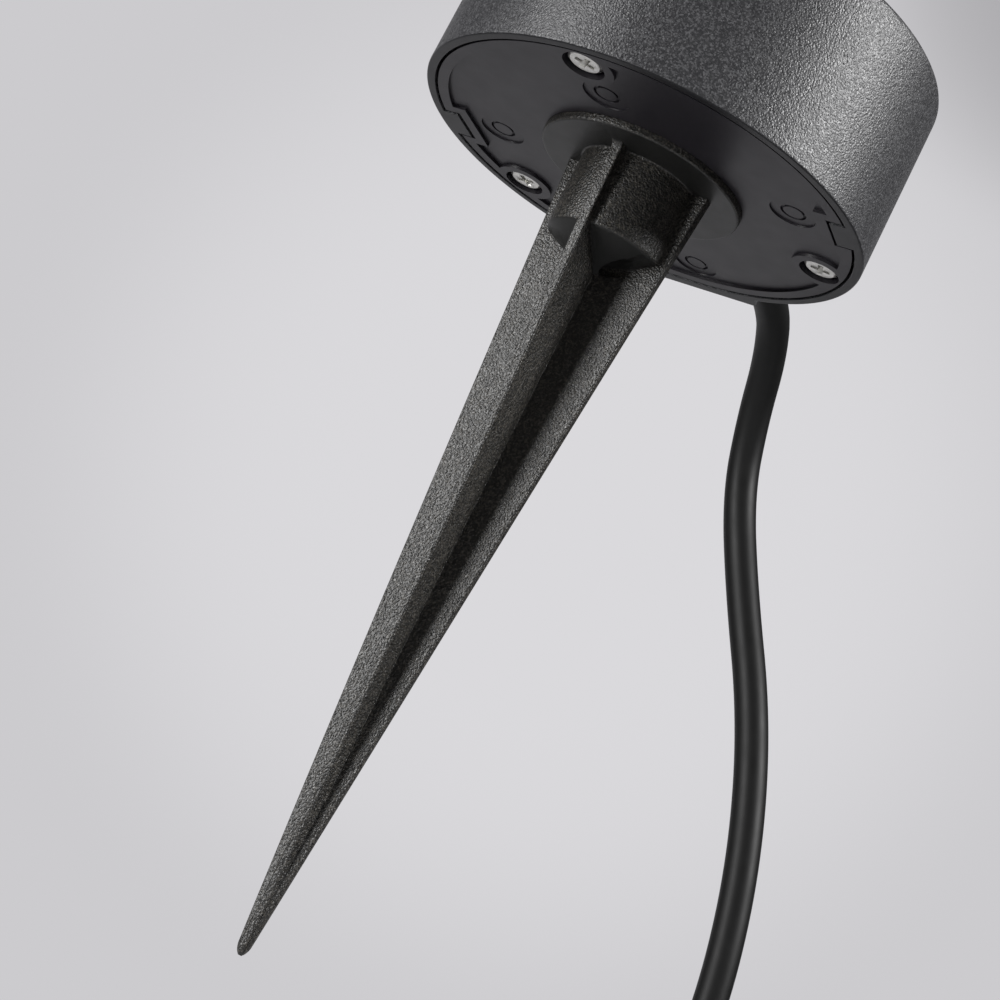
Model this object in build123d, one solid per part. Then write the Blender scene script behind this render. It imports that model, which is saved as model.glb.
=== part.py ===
from build123d import *

import math
import os

# Outdoor spotlight on a ground spike, in millimetres.
# The origin is on the drum's axis at ground level, where its rim meets the soil.
# +Z is up, the cable leaves on the +Y side and the lamp head looks towards -Y.

# Drum base, a die-cast aluminium cup that is open below
base_diameter = 95.0
base_height = 37.0
base_wall = 1.9
base_roof = 4.0
roof_edge_radius = 1.6
rim_edge_radius = 0.5
lug_width = 8.6
lug_depth = 3.6
ledge_height = 3.0
ledge_width = 3.2
pillar_diameter = 9.0
pillar_web = 6.0
pillar_inset = 5.4
swivel_boss_diameter = 30.0
swivel_boss_height = 3.0

# Flat pad on the back of the drum, where the cable leaves
pad_width = 29.0
pad_height = 31.0
pad_proud = 0.4
pad_corner_radius = 1.2
cable_height = 18.0

# Bottom cover and its gasket
cover_gap = 0.3
cover_sink = 0.4
cover_thickness = 3.4
cover_band = 2.6
field_depth = 0.6
screw_pad_diameter = 12.4
knockout_count = 4
knockout_inset = 12.0
dish_diameter = 10.0
dish_depth = 0.7
knockout_diameter = 5.8
knockout_depth = 0.8
gasket_thickness = 1.5
gasket_width = 2.6

# Cover screws
screw_count = 3
screw_thread = 3.9
screw_length = 12.0
screw_head_diameter = 7.0
screw_head_height = 1.3
screw_hole_clearance = 0.3
counterbore_diameter = 8.6
counterbore_depth = 2.3
thread_clearance = 0.05
cross_width = 0.9
cross_length = 3.8
cross_depth = 0.8

# Ground spike
spike_depth = 167.5
flange_diameter = 43.0
flange_thickness = 1.8
flange_edge_radius = 0.5
hub_diameter = 24.8
hub_length = 16.2
hub_cone_height = 5.8
hub_cone_tip = 4.0
fin_reach = 15.8
fin_thickness = 2.3
fin_root_radius = 2.4
fin_tip_reach = 1.3
fin_tip_thickness = 1.5
fin_tip_root_radius = 0.15
tommy_hole_diameter = 4.0
tommy_hole_drop = 20.4

# Bolt that holds the spike to the cover
spike_bolt_diameter = 8.0
spike_bolt_length = 20.0
spike_bolt_head = 13.0
spike_bolt_head_height = 5.5
spike_bolt_clearance = 0.3
spike_bolt_fit = 0.05
spike_bore_spare = 2.0
spike_washer_diameter = 24.0
spike_washer_thickness = 1.6

# Terminal block and driver, which stand on the cover
terminal_width = 15.0
terminal_depth = 16.0
terminal_height = 12.0
terminal_poles = 2
terminal_pitch = 7.0
terminal_screw_diameter = 3.2
terminal_screw_depth = 2.0
terminal_gap = 2.0
terminal_back = 2.0
driver_width = 16.0
driver_length = 30.0
driver_height = 15.0
driver_gap = 2.0
driver_back = 8.0
driver_edge_radius = 1.5

# Cord grip under the roof, and the earth screw
grip_post_diameter = 7.0
grip_post_spacing = 18.0
grip_inset = 8.0
grip_rib_width = 5.0
grip_bar_length = 26.0
grip_bar_width = 8.0
grip_bar_height = 4.0
grip_gap = 0.3
grip_screw_diameter = 2.9
grip_screw_length = 10.0
grip_screw_head = 5.6
grip_screw_head_height = 2.0
earth_boss_diameter = 8.0
earth_boss_height = 6.0
earth_boss_x = 22.0
earth_boss_y = 14.0
earth_screw_diameter = 3.9
earth_screw_length = 5.0
earth_screw_head = 7.5
earth_screw_head_height = 2.6
earth_tag_thickness = 0.8
earth_tag_diameter = 8.5

# Mains cable, its strain relief and its inner leads
cable_diameter = 8.0
relief_neck_diameter = 12.0
relief_neck_clearance = 0.1
relief_flange_diameter = 16.0
relief_flange_thickness = 2.5
relief_inner_flange = 2.5
relief_inner_gap = 0.8
relief_length = 20.1
relief_root_diameter = 13.6
relief_tip_diameter = 10.0
relief_groove_count = 3
relief_groove_width = 1.6
relief_groove_depth = 1.0
cable_tail = 8.5
lead_diameter = 2.4
lead_ring = 2.4
lead_gap = 0.6

# Route of a lead, as shares of its way along and of its way across
lead_shares = [(0, 0), (0.16, 0), (0.34, 0.12), (0.5, 0.48), (0.66, 0.88), (0.84, 1), (1, 1)]

# Route of the earth lead, as shares of its way along X, Y and Z
earth_shares = [(0, 0, 0), (0, 0.42, 0.1), (0.36, 0.84, 0.6), (1, 1, 1)]

# Free cable: the route's points after the strain relief, down to the coil
cable_route = [
    (0.0, 68.4, 18.0),
    (1.5, 86.5, 18.0),
    (0.0, 103.5, 11.0),
    (-2.0, 116.5, -2.0),
    (0.5, 123.5, -19.5),
    (12.0, 124.0, -42.0),
    (28.5, 124.0, -70.0),
    (40.5, 124.0, -100.0),
    (47.5, 124.0, -130.0),
    (49.0, 124.0, -155.0),
    (49.0, 124.0, -176.0),
]

# Coil of the spare cable, hanging at the end of the free stretch
coil_outer_radius = 55.0
coil_pitch = 8.7
coil_layers = 2
coil_layer_turns = 2
coil_lead_in = 8.0
coil_tail = 32.0
coil_steps_per_turn = 4
tie_width = 9.0
tie_thickness = 1.2
tie_clearance = 0.4
tie_corner_radius = 3.0

# Mains plug
plug_neck_length = 20.0
plug_neck_start = 10.0
plug_neck_end = 15.0
plug_shoulder = 10.0
plug_body_diameter = 37.0
plug_body_length = 26.0
plug_edge_radius = 3.0
plug_face_radius = 1.0
pin_diameter = 4.8
pin_length = 19.0
pin_spacing = 19.0
pin_tip_radius = 1.6
earth_slot_width = 7.0
earth_slot_depth = 3.0
earth_clip_width = 4.4
earth_clip_thickness = 1.2
earth_clip_length = 18.0

# Swivel between the base and the fork
swivel_spigot_diameter = 14.0
swivel_clearance = 0.05
swivel_washer_diameter = 31.0
swivel_washer_thickness = 1.0
spring_washer_thickness = 1.0
spring_washer_diameter = 20.0
swivel_nut_across = 22.0
swivel_nut_height = 5.0
swivel_thread_spare = 2.0
wire_duct_diameter = 8.0

# Fork that carries the head
foot_diameter = 33.0
foot_height = 4.0
foot_edge_radius = 1.0
fork_block_height = 7.0
pivot_rise = 26.0
ear_thickness = 5.0
ear_radius = 10.0
ear_edge_radius = 0.8
tilt_washer_thickness = 1.0
tilt_washer_diameter = 18.0
tilt_play = 0.05

# Tilt bolt
tilt_bolt_diameter = 6.0
tilt_bolt_clearance = 0.05
tilt_head_diameter = 10.0
tilt_head_height = 6.0
tilt_key_across = 5.0
tilt_key_depth = 3.0
tilt_nut_across = 10.0
tilt_nut_height = 5.0
tilt_bolt_spare = 1.2

# Lamp head, built along its own beam axis and then tilted
head_diameter = 66.0
head_body_length = 84.0
head_rear_edge_radius = 3.0
head_floor = 37.0
spigot_length = 10.0
spigot_wall = 1.6
fin_groove_count = 4
fin_groove_width = 4.0
fin_groove_pitch = 7.0
fin_groove_first = 6.0
fin_groove_depth = 11.0
tongue_thickness = 12.0
tongue_radius = 10.0
tongue_drop = 14.0
tongue_sink = 9.0
head_rear_overhang = 16.0
rest_tilt = 35.0

# Front ring, glass, gasket, reflector and light source
ring_wall = 2.25
ring_lip = 6.0
ring_face = 3.0
ring_thread_clearance = 0.15
ring_edge_radius = 1.0
glass_side_gap = 0.55
glass_thickness = 4.4
glass_play = 0.1
glass_edge_cover = 3.7
lens_gasket_thickness = 1.5
lens_gasket_width = 2.7
board_size = 32.0
board_thickness = 1.6
board_corner_radius = 2.0
board_screw_inset = 3.5
board_screw_diameter = 3.0
board_screw_head = 5.0
board_screw_head_height = 2.0
board_screw_length = 6.0
chip_diameter = 14.0
chip_thickness = 0.6
reflector_throat_gap = 1.2
reflector_wall = 1.2
reflector_side_gap = 0.4
reflector_front_gap = 0.5
reflector_belly_share = 0.36
reflector_belly_reach = 0.63

# Values that follow from the sizes above
base_radius = base_diameter / 2
base_inner_radius = base_radius - base_wall
roof_z = base_height - base_roof
cover_radius = base_inner_radius - cover_gap
cover_top = cover_sink + cover_thickness
ledge_z = cover_top + gasket_thickness
field_z = cover_sink + field_depth
screw_circle = base_inner_radius - pillar_inset
screw_angles = [-90 + 360 * i / screw_count for i in range(screw_count)]
lug_angles = [0, 180]
pad_face = base_radius + pad_proud
flange_z = field_z - flange_thickness
hub_z = flange_z - hub_length
washer_top = cover_top + spike_washer_thickness
swivel_boss_z = roof_z - swivel_boss_height
foot_z = base_height + swivel_washer_thickness
pivot_z = foot_z + pivot_rise
ear_gap = tongue_thickness + 2 * tilt_washer_thickness + 2 * tilt_play
ear_outer = ear_gap / 2 + ear_thickness
head_radius = head_diameter / 2
head_axis = tongue_drop + head_radius
ring_bore = head_radius - ring_wall
spigot_radius = ring_bore - ring_thread_clearance
head_bore = spigot_radius - spigot_wall
glass_radius = ring_bore - glass_side_gap
ring_seat = head_body_length - spigot_length
lens_gasket_top = head_body_length + lens_gasket_thickness
lip_z = lens_gasket_top + glass_thickness + glass_play
chip_base = head_floor + board_thickness
coil_start = Vector(*cable_route[-1]) - Vector(0, 0, coil_lead_in)
coil_turns = coil_layers * coil_layer_turns
coil_centre = coil_start + Vector(coil_outer_radius, 0, 0)
relief_tip = pad_face + relief_length

UP = (Align.CENTER, Align.CENTER, Align.MIN)
DOWN = (Align.CENTER, Align.CENTER, Align.MAX)


def ring(outer, inner, height):
    # Flat ring standing on z = 0
    return Cylinder(outer / 2, height, align=UP) - Cylinder(inner / 2, height, align=UP)


def around(radius, angles, shape):
    # Copies of a shape on a circle, each turned to face outwards
    return [Rot(0, 0, angle) * Pos(radius, 0, 0) * shape for angle in angles]


def fused(shapes):
    result = shapes[0]
    for shape in shapes[1:]:
        result = result + shape
    return result


def hexagon(across, height):
    return extrude(RegularPolygon(across / 2, 6, major_radius=False), height)


def screw(thread, length, head, head_height):
    # Pan head with a rounded rim and a cross recess; the head's seat is at z = 0, the shank above it
    crown = fillet(
        Cylinder(head / 2, head_height, align=DOWN).edges().group_by(Axis.Z)[0],
        0.4 * head_height,
    )
    shank = Cylinder(thread / 2, length, align=UP)
    bar = Box(cross_length, cross_width, cross_depth, align=UP)
    recess = Pos(0, 0, -head_height) * (bar + Rot(0, 0, 90) * bar)
    return crown + shank - recess


def corner_radii(points):
    # Each corner of a cord is rounded as far as its two runs allow
    radii = []
    for before, corner, after in zip(points, points[1:], points[2:]):
        into = Vector(*corner) - Vector(*before)
        out = Vector(*after) - Vector(*corner)
        half_turn = math.radians(into.get_angle(out)) / 2
        radii.append(0.45 * min(into.length, out.length) / math.tan(half_turn))
    return radii


def cord(name, points, diameter):
    radii = corner_radii(points)
    path = FilletPolyline(*points, radius=radii)
    section = Plane(origin=path @ 0, z_dir=path % 0) * Circle(diameter / 2)
    tube = sweep(section, path=path)
    share = tube.volume / (math.pi * diameter**2 / 4 * path.length)
    print(name, "radii", [round(r, 1) for r in radii], "length", round(path.length, 1))
    print(name, "volume against section times length", round(share, 4))
    return tube


# Base drum and its cover


def drum_pad():
    outline = Rectangle(pad_width, base_radius, align=(Align.CENTER, Align.MAX))
    outline = fillet(outline.vertices().group_by(Axis.Y)[-1], pad_corner_radius)
    return extrude(Pos(0, pad_face, 0) * outline, pad_height)


def pillar_outline():
    web_length = base_radius - screw_circle - base_wall / 2
    web = Pos(web_length / 2, 0) * Rectangle(web_length, pillar_web)
    return Circle(pillar_diameter / 2) + web


def base_housing():
    drum = Cylinder(base_radius, base_height, align=UP)
    drum = fillet(drum.edges().group_by(Axis.Z)[-1], roof_edge_radius)
    drum = fillet(drum.edges().group_by(Axis.Z)[0], rim_edge_radius)
    body = drum + drum_pad()
    body -= Cylinder(base_inner_radius, roof_z, align=UP)
    ledge_outer = 2 * base_inner_radius + base_wall
    body += Pos(0, 0, ledge_z) * ring(ledge_outer, 2 * (base_inner_radius - ledge_width), ledge_height)
    pillars = around(screw_circle, screw_angles, extrude(pillar_outline(), roof_z - ledge_z))
    lug = Box(lug_depth + base_wall / 2, lug_width, cover_top, align=(Align.MIN, Align.CENTER, Align.MIN))
    body += [Pos(0, 0, ledge_z) * pillar for pillar in pillars]
    body += around(base_inner_radius - lug_depth, lug_angles, lug)
    body += Pos(0, 0, roof_z) * Cylinder(swivel_boss_diameter / 2, swivel_boss_height, align=DOWN)
    body += cord_grip_seat()
    earth_boss = Cylinder(earth_boss_diameter / 2, earth_boss_height, align=DOWN)
    body += Pos(earth_boss_x, earth_boss_y, roof_z) * earth_boss
    return body - housing_holes()


def grip_y():
    return base_inner_radius - grip_inset


def cord_grip_seat():
    # Two posts and a rib under the roof, between which the cable is held down
    rib_bottom = cable_height + cable_diameter / 2
    post_bottom = cable_height - cable_diameter / 2 + grip_gap
    rib = Box(grip_post_spacing, grip_rib_width, roof_z - rib_bottom, align=DOWN)
    post = Cylinder(grip_post_diameter / 2, roof_z - post_bottom, align=DOWN)
    posts = [Pos(side * grip_post_spacing / 2, 0, 0) * post for side in (-1, 1)]
    return Pos(0, grip_y(), roof_z) * fused([rib] + posts)


def housing_holes():
    pilot = Cylinder(screw_thread / 2 + thread_clearance, screw_length, align=UP)
    pilots = [Pos(0, 0, ledge_z) * p for p in around(screw_circle, screw_angles, pilot)]
    swivel_hole = Cylinder(swivel_spigot_diameter / 2 + swivel_clearance, base_height, align=UP)
    entry = Cylinder(relief_neck_diameter / 2 + relief_neck_clearance, base_radius, align=UP)
    entry = Pos(0, base_inner_radius - base_wall, cable_height) * Rot(-90, 0, 0) * entry
    grip_hole = Cylinder(grip_screw_diameter / 2 + thread_clearance, grip_screw_length, align=UP)
    grip_z = cable_height - cable_diameter / 2 + grip_gap
    grips = [Pos(side * grip_post_spacing / 2, grip_y(), grip_z) * grip_hole for side in (-1, 1)]
    earth_hole = Cylinder(earth_screw_diameter / 2 + thread_clearance, earth_boss_height, align=UP)
    earth = Pos(earth_boss_x, earth_boss_y, roof_z - earth_boss_height) * earth_hole
    return fused(pilots + [Pos(0, 0, swivel_boss_z) * swivel_hole, entry, earth] + grips)


def lug_notch(margin):
    # Outline of the gap round a lug, widened by a margin
    depth = lug_depth + margin + base_wall
    outline = Pos(-depth / 2, 0) * Rectangle(depth, lug_width + 2 * margin)
    return [Rot(0, 0, a) * Pos(base_inner_radius + base_wall, 0) * outline for a in lug_angles]


def bottom_cover():
    plate = Circle(cover_radius) - lug_notch(cover_gap)
    body = Pos(0, 0, cover_sink) * extrude(plate, cover_thickness)
    field = Circle(cover_radius - cover_band) - lug_notch(cover_gap + cover_band)
    field -= around(screw_circle, screw_angles, Circle(screw_pad_diameter / 2))
    body -= Pos(0, 0, cover_sink) * extrude(field, field_depth)
    dish = Cylinder(dish_diameter / 2, dish_depth, align=UP)
    pocket = Cylinder(knockout_diameter / 2, dish_depth + knockout_depth, align=UP)
    angles = [360 * i / knockout_count for i in range(knockout_count)]
    knockouts = around(cover_radius - knockout_inset, angles, dish + pocket)
    body -= [Pos(0, 0, field_z) * k for k in knockouts]
    hole = Cylinder(screw_thread / 2 + screw_hole_clearance, cover_thickness, align=UP)
    hole += Cylinder(counterbore_diameter / 2, counterbore_depth, align=UP)
    body -= [Pos(0, 0, cover_sink) * h for h in around(screw_circle, screw_angles, hole)]
    return body - Cylinder(spike_bolt_diameter / 2 + spike_bolt_clearance, cover_top, align=UP)


def cover_gasket():
    outer = base_inner_radius - cover_gap
    face = Circle(outer) - Circle(outer - gasket_width)
    face += around(screw_circle, screw_angles, Circle(pillar_diameter / 2))
    hole = Circle(screw_thread / 2 + screw_hole_clearance)
    face -= around(screw_circle, screw_angles, hole)
    return Pos(0, 0, cover_top) * extrude(face, gasket_thickness)


def cover_screws():
    head_seat = cover_sink + counterbore_depth
    one = screw(screw_thread, screw_length, screw_head_diameter, screw_head_height)
    return [Pos(0, 0, head_seat) * s for s in around(screw_circle, screw_angles, one)]


# Ground spike


def fin_cross(reach, thickness, root_radius):
    arm = Rectangle(2 * reach, thickness)
    cross = arm + Rot(0, 0, 90) * arm
    inner = cross.vertices().sort_by(lambda v: math.hypot(v.X, v.Y))[:4]
    return fillet(inner, root_radius)


def ground_spike():
    flange = Cylinder(flange_diameter / 2, flange_thickness, align=UP)
    flange = fillet(flange.edges().group_by(Axis.Z)[0], flange_edge_radius)
    hub = Cylinder(hub_diameter / 2, hub_length, align=DOWN)
    cone = Cone(hub_cone_tip / 2, hub_diameter / 2, hub_cone_height, align=DOWN)
    top = Pos(0, 0, flange_z) * fin_cross(fin_reach, fin_thickness, fin_root_radius)
    tip = fin_cross(fin_tip_reach, fin_tip_thickness, fin_tip_root_radius)
    fins = loft([top, Pos(0, 0, -spike_depth) * tip], ruled=True)
    body = Pos(0, 0, flange_z) * flange + Pos(0, 0, flange_z) * hub + Pos(0, 0, hub_z) * cone + fins
    bore_depth = spike_bolt_length - spike_washer_thickness - cover_top + field_z + spike_bore_spare
    bore = Cylinder(spike_bolt_diameter / 2 + spike_bolt_fit, bore_depth, align=DOWN)
    tommy = Cylinder(tommy_hole_diameter / 2, 2 * fin_reach)
    tommy = Pos(0, 0, flange_z - tommy_hole_drop) * Rot(0, 0, 45) * Rot(90, 0, 0) * tommy
    return body - Pos(0, 0, field_z) * bore - tommy


def spike_bolt():
    shank = Cylinder(spike_bolt_diameter / 2, spike_bolt_length, align=DOWN)
    return Pos(0, 0, washer_top) * (hexagon(spike_bolt_head, spike_bolt_head_height) + shank)


def spike_washer():
    hole = spike_bolt_diameter + 2 * spike_bolt_clearance
    return Pos(0, 0, cover_top) * ring(spike_washer_diameter, hole, spike_washer_thickness)


# Electrical parts inside the drum


def terminal_x():
    return spike_washer_diameter / 2 + terminal_gap + terminal_width / 2


def pole_offsets():
    return [(i - (terminal_poles - 1) / 2) * terminal_pitch for i in range(terminal_poles)]


def terminal_screw_places():
    rows = [terminal_back - terminal_depth * share for share in (0.3, 0.7)]
    z = cover_top + terminal_height
    return [Pos(terminal_x() + x, y, z) for x in pole_offsets() for y in rows]


def terminal_block():
    block = Box(terminal_width, terminal_depth, terminal_height, align=(Align.CENTER, Align.MAX, Align.MIN))
    well = Cylinder(terminal_screw_diameter / 2, terminal_screw_depth, align=DOWN)
    return Pos(terminal_x(), terminal_back, cover_top) * block - [p * well for p in terminal_screw_places()]


def terminal_screws():
    slug = Cylinder(terminal_screw_diameter / 2, terminal_screw_depth / 2, align=UP)
    slot = Box(terminal_screw_diameter, cross_width / 2, terminal_screw_depth / 4, align=UP)
    one = Pos(0, 0, -terminal_screw_depth) * (slug - Pos(0, 0, terminal_screw_depth / 4) * slot)
    return [place * one for place in terminal_screw_places()]


def driver_box():
    box = Box(driver_width, driver_length, driver_height, align=(Align.MAX, Align.MAX, Align.MIN))
    box = fillet(box.edges().filter_by(Axis.Z), driver_edge_radius)
    return Pos(-spike_washer_diameter / 2 - driver_gap, driver_back, cover_top) * box


def grip_bar():
    bar = Box(grip_bar_length, grip_bar_width, grip_bar_height, align=DOWN)
    hole = Cylinder(grip_screw_diameter / 2 + screw_hole_clearance, grip_bar_height, align=DOWN)
    bar -= [Pos(side * grip_post_spacing / 2, 0, 0) * hole for side in (-1, 1)]
    return Pos(0, grip_y(), cable_height - cable_diameter / 2) * bar


def grip_screws():
    seat = cable_height - cable_diameter / 2 - grip_bar_height
    one = screw(grip_screw_diameter, grip_screw_length, grip_screw_head, grip_screw_head_height)
    return [Pos(side * grip_post_spacing / 2, grip_y(), seat) * one for side in (-1, 1)]


def earth_tag():
    tail = Pos(-earth_tag_diameter / 2, 0) * Rectangle(earth_tag_diameter, lead_diameter)
    tag = Circle(earth_tag_diameter / 2) + tail
    tag -= Circle(earth_screw_diameter / 2 + screw_hole_clearance)
    plate = extrude(tag, -earth_tag_thickness)
    return Pos(earth_boss_x, earth_boss_y, roof_z - earth_boss_height) * plate


def earth_screw():
    seat = roof_z - earth_boss_height - earth_tag_thickness
    one = screw(earth_screw_diameter, earth_screw_length, earth_screw_head, earth_screw_head_height)
    return Pos(earth_boss_x, earth_boss_y, seat) * one


# Cable, its strain relief, its coil and its plug


def relief_inner_face():
    return base_inner_radius - relief_inner_gap


def strain_relief():
    # Turned profile along the cable, from the inner flange to the tapered tip
    back = relief_inner_face() - relief_inner_flange - pad_face
    neck_start = relief_inner_face() - pad_face
    outline = [
        (0, back),
        (relief_flange_diameter / 2, back),
        (relief_flange_diameter / 2, neck_start),
        (relief_neck_diameter / 2, neck_start),
        (relief_neck_diameter / 2, 0),
        (relief_flange_diameter / 2, 0),
        (relief_flange_diameter / 2, relief_flange_thickness),
        (relief_root_diameter / 2, relief_flange_thickness),
        (relief_tip_diameter / 2, relief_length),
        (0, relief_length),
    ]
    body = revolve(make_face(Polyline(*outline, close=True)), Axis.Y)
    sleeve = relief_length - relief_flange_thickness
    step = sleeve / (relief_groove_count + 1)
    for i in range(relief_groove_count):
        along = relief_flange_thickness + step * (i + 1)
        taper = (relief_root_diameter - relief_tip_diameter) * step * (i + 1) / sleeve
        floor = relief_root_diameter - taper - 2 * relief_groove_depth
        cut = ring(relief_flange_diameter, floor, relief_groove_width)
        body -= Pos(0, along - relief_groove_width / 2, 0) * Rot(-90, 0, 0) * cut
    return Pos(0, pad_face, cable_height) * body


def cable_inner_end():
    return relief_inner_face() - relief_inner_flange


def inner_cable():
    tail = Cylinder(cable_diameter / 2, cable_tail, align=UP)
    return Pos(0, cable_inner_end(), cable_height) * Rot(90, 0, 0) * tail


def lead(name, index):
    # One insulated core, in an easy S from the end of the cable to its pole of the terminal block
    angle = math.radians(210 - 240 * index)
    start_x = lead_ring * math.cos(angle)
    start_y = cable_inner_end() - cable_tail
    start_z = cable_height + lead_ring * math.sin(angle)
    across = terminal_x() + pole_offsets()[index] - start_x
    along = start_y - terminal_back
    drop = start_z - cover_top - terminal_height / 2
    points = [(start_x + across * b, start_y - along * a, start_z - drop * b) for a, b in lead_shares]
    return cord(name, points, lead_diameter)


def earth_lead():
    # From the end of the cable up to the earth tag, on an easy quarter turn
    start = Vector(0, cable_inner_end() - cable_tail, cable_height + lead_ring)
    tag_z = roof_z - earth_boss_height - earth_tag_thickness / 2
    end = Vector(earth_boss_x - earth_tag_diameter - lead_gap, earth_boss_y, tag_z)
    way = end - start
    points = [start + Vector(way.X * a, way.Y * b, way.Z * c) for a, b, c in earth_shares]
    return cord("earth_lead", [tuple(p) for p in points], lead_diameter)


def power_cable():
    return cord("power_cable", cable_route, cable_diameter)


def coil_place(turn):
    # Spirals in on the first layer, climbs in the half turn where it reverses, and spirals out again
    middle = coil_turns / 2
    near = turn - middle
    if abs(near) < 0.25:
        shrink = middle - 0.125 - 2 * near**2
        share = (near + 0.25) / 0.5
    else:
        shrink = middle - abs(near)
        share = 0.0 if near < 0 else 1.0
    radius = coil_outer_radius - coil_pitch * shrink
    climb = coil_pitch * share**2 * (3 - 2 * share)
    angle = math.pi + 2 * math.pi * turn
    place = Vector(radius * math.cos(angle), climb, radius * math.sin(angle))
    return coil_centre + place


def coil_direction(turn):
    step = 0.001
    return (coil_place(turn + step) - coil_place(turn - step)).normalized()


def biarc(start, start_way, end, end_way):
    # Two arcs that meet smoothly half way between two points with given directions
    chord = end - start
    ways = start_way + end_way
    spread = 2 * (1 - start_way.dot(end_way))
    reach = (math.sqrt(chord.dot(ways) ** 2 + spread * chord.dot(chord)) - chord.dot(ways)) / spread
    middle = (start + end + (start_way - end_way) * reach) / 2
    first = TangentArc(start, middle, tangent=start_way)
    return [first, TangentArc(middle, end, tangent=first % 1)]


def coil_path():
    stops = [i / coil_steps_per_turn for i in range(coil_turns * coil_steps_per_turn + 1)]
    ways = [coil_direction(turn) for turn in stops]
    down = Vector(0, 0, -1)
    ways[0] = down
    ways[-1] = down
    places = [coil_place(turn) for turn in stops]
    edges = [Line(places[0] - down * coil_lead_in, places[0])]
    for i in range(len(stops) - 1):
        edges += biarc(places[i], ways[i], places[i + 1], ways[i + 1])
    edges.append(Line(places[-1], places[-1] + down * coil_tail))
    return Wire(edges)


def least_self_gap(path, diameter):
    # Least distance between points of the path that are more than three diameters apart along it
    count = int(path.length / (0.4 * diameter))
    spots = [path @ (i / count) for i in range(count + 1)]
    apart = int(3 * diameter / (path.length / count)) + 1
    gaps = [(spots[i] - spots[j]).length for i in range(count + 1) for j in range(i + apart, count + 1)]
    return min(gaps) - diameter


def cable_coil():
    path = coil_path()
    section = Plane(origin=path @ 0, z_dir=path % 0) * Circle(cable_diameter / 2)
    tube = sweep(section, path=path)
    share = tube.volume / (math.pi * cable_diameter**2 / 4 * path.length)
    gap = least_self_gap(path, cable_diameter)
    print("cable_coil length", round(path.length, 1), "least gap", round(gap, 2))
    print("cable_coil volume against section times length", round(share, 4))
    return tube


def coil_tie():
    # Strap round the bundle, half a turn away from where the cable comes in
    strands = [coil_place(turn + 0.5) for turn in range(coil_turns)]
    low_x = min(s.X for s in strands)
    high_x = max(s.X for s in strands)
    low_y = min(s.Y for s in strands)
    high_y = max(s.Y for s in strands)
    spare = cable_diameter + 2 * tie_clearance
    wide = high_x - low_x + spare
    deep = high_y - low_y + spare
    corner = tie_corner_radius + tie_thickness
    strap = RectangleRounded(wide + 2 * tie_thickness, deep + 2 * tie_thickness, corner)
    strap -= RectangleRounded(wide, deep, tie_corner_radius)
    band = extrude(strap, tie_width / 2, both=True)
    return Pos((low_x + high_x) / 2, (low_y + high_y) / 2, coil_centre.Z) * band


def plug_top():
    return coil_place(coil_turns) - Vector(0, 0, coil_tail)


def plug_face():
    return plug_neck_length + plug_shoulder + plug_body_length


def plug_place():
    # The plug's own axis runs down from the end of the cable
    return Pos(plug_top()) * Rot(180, 0, 0)


def earth_slots():
    sides = (Align.MAX, Align.CENTER, Align.MAX)
    slot = Box(earth_slot_depth, earth_slot_width, plug_body_length, align=sides)
    return around(plug_body_diameter / 2, [90, 270], Pos(0, 0, plug_face()) * slot)


def plug_body():
    shoulder_z = plug_neck_length + plug_shoulder
    radius = plug_body_diameter / 2
    outline = [
        (0, 0),
        (plug_neck_start / 2, 0),
        (plug_neck_end / 2, plug_neck_length),
        (radius - plug_edge_radius, shoulder_z - plug_edge_radius),
        (radius, shoulder_z),
        (radius, plug_face()),
        (0, plug_face()),
    ]
    body = revolve(Plane.XZ * make_face(Polyline(*outline, close=True)), Axis.Z)
    body = fillet(body.edges().group_by(Axis.Z)[-1], plug_face_radius)
    return plug_place() * (body - earth_slots())


def plug_pins():
    pin = Cylinder(pin_diameter / 2, pin_length, align=UP)
    pin = fillet(pin.edges().group_by(Axis.Z)[-1], pin_tip_radius)
    place = plug_place() * Pos(0, 0, plug_face())
    return [place * Pos(side * pin_spacing / 2, 0, 0) * pin for side in (-1, 1)]


def plug_earth_clips():
    sides = (Align.MIN, Align.CENTER, Align.MAX)
    clip = Box(earth_clip_thickness, earth_clip_width, earth_clip_length, align=sides)
    seat = plug_body_diameter / 2 - earth_slot_depth
    return [plug_place() * c for c in around(seat, [90, 270], Pos(0, 0, plug_face()) * clip)]


# Swivel and fork


def swivel_washer():
    bore = swivel_spigot_diameter + 2 * swivel_clearance
    return Pos(0, 0, base_height) * ring(swivel_washer_diameter, bore, swivel_washer_thickness)


def spring_washer():
    bore = swivel_spigot_diameter + 2 * swivel_clearance
    washer = ring(spring_washer_diameter, bore, spring_washer_thickness)
    return Pos(0, 0, swivel_boss_z - spring_washer_thickness) * washer


def swivel_nut():
    nut = hexagon(swivel_nut_across, swivel_nut_height)
    nut -= Cylinder(swivel_spigot_diameter / 2 + thread_clearance, swivel_nut_height, align=UP)
    return Pos(0, 0, swivel_boss_z - spring_washer_thickness - swivel_nut_height) * nut


def ear_outline():
    stem = Rectangle(2 * ear_radius, pivot_rise - foot_height, align=(Align.CENTER, Align.MAX))
    return Circle(ear_radius) + stem


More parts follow.
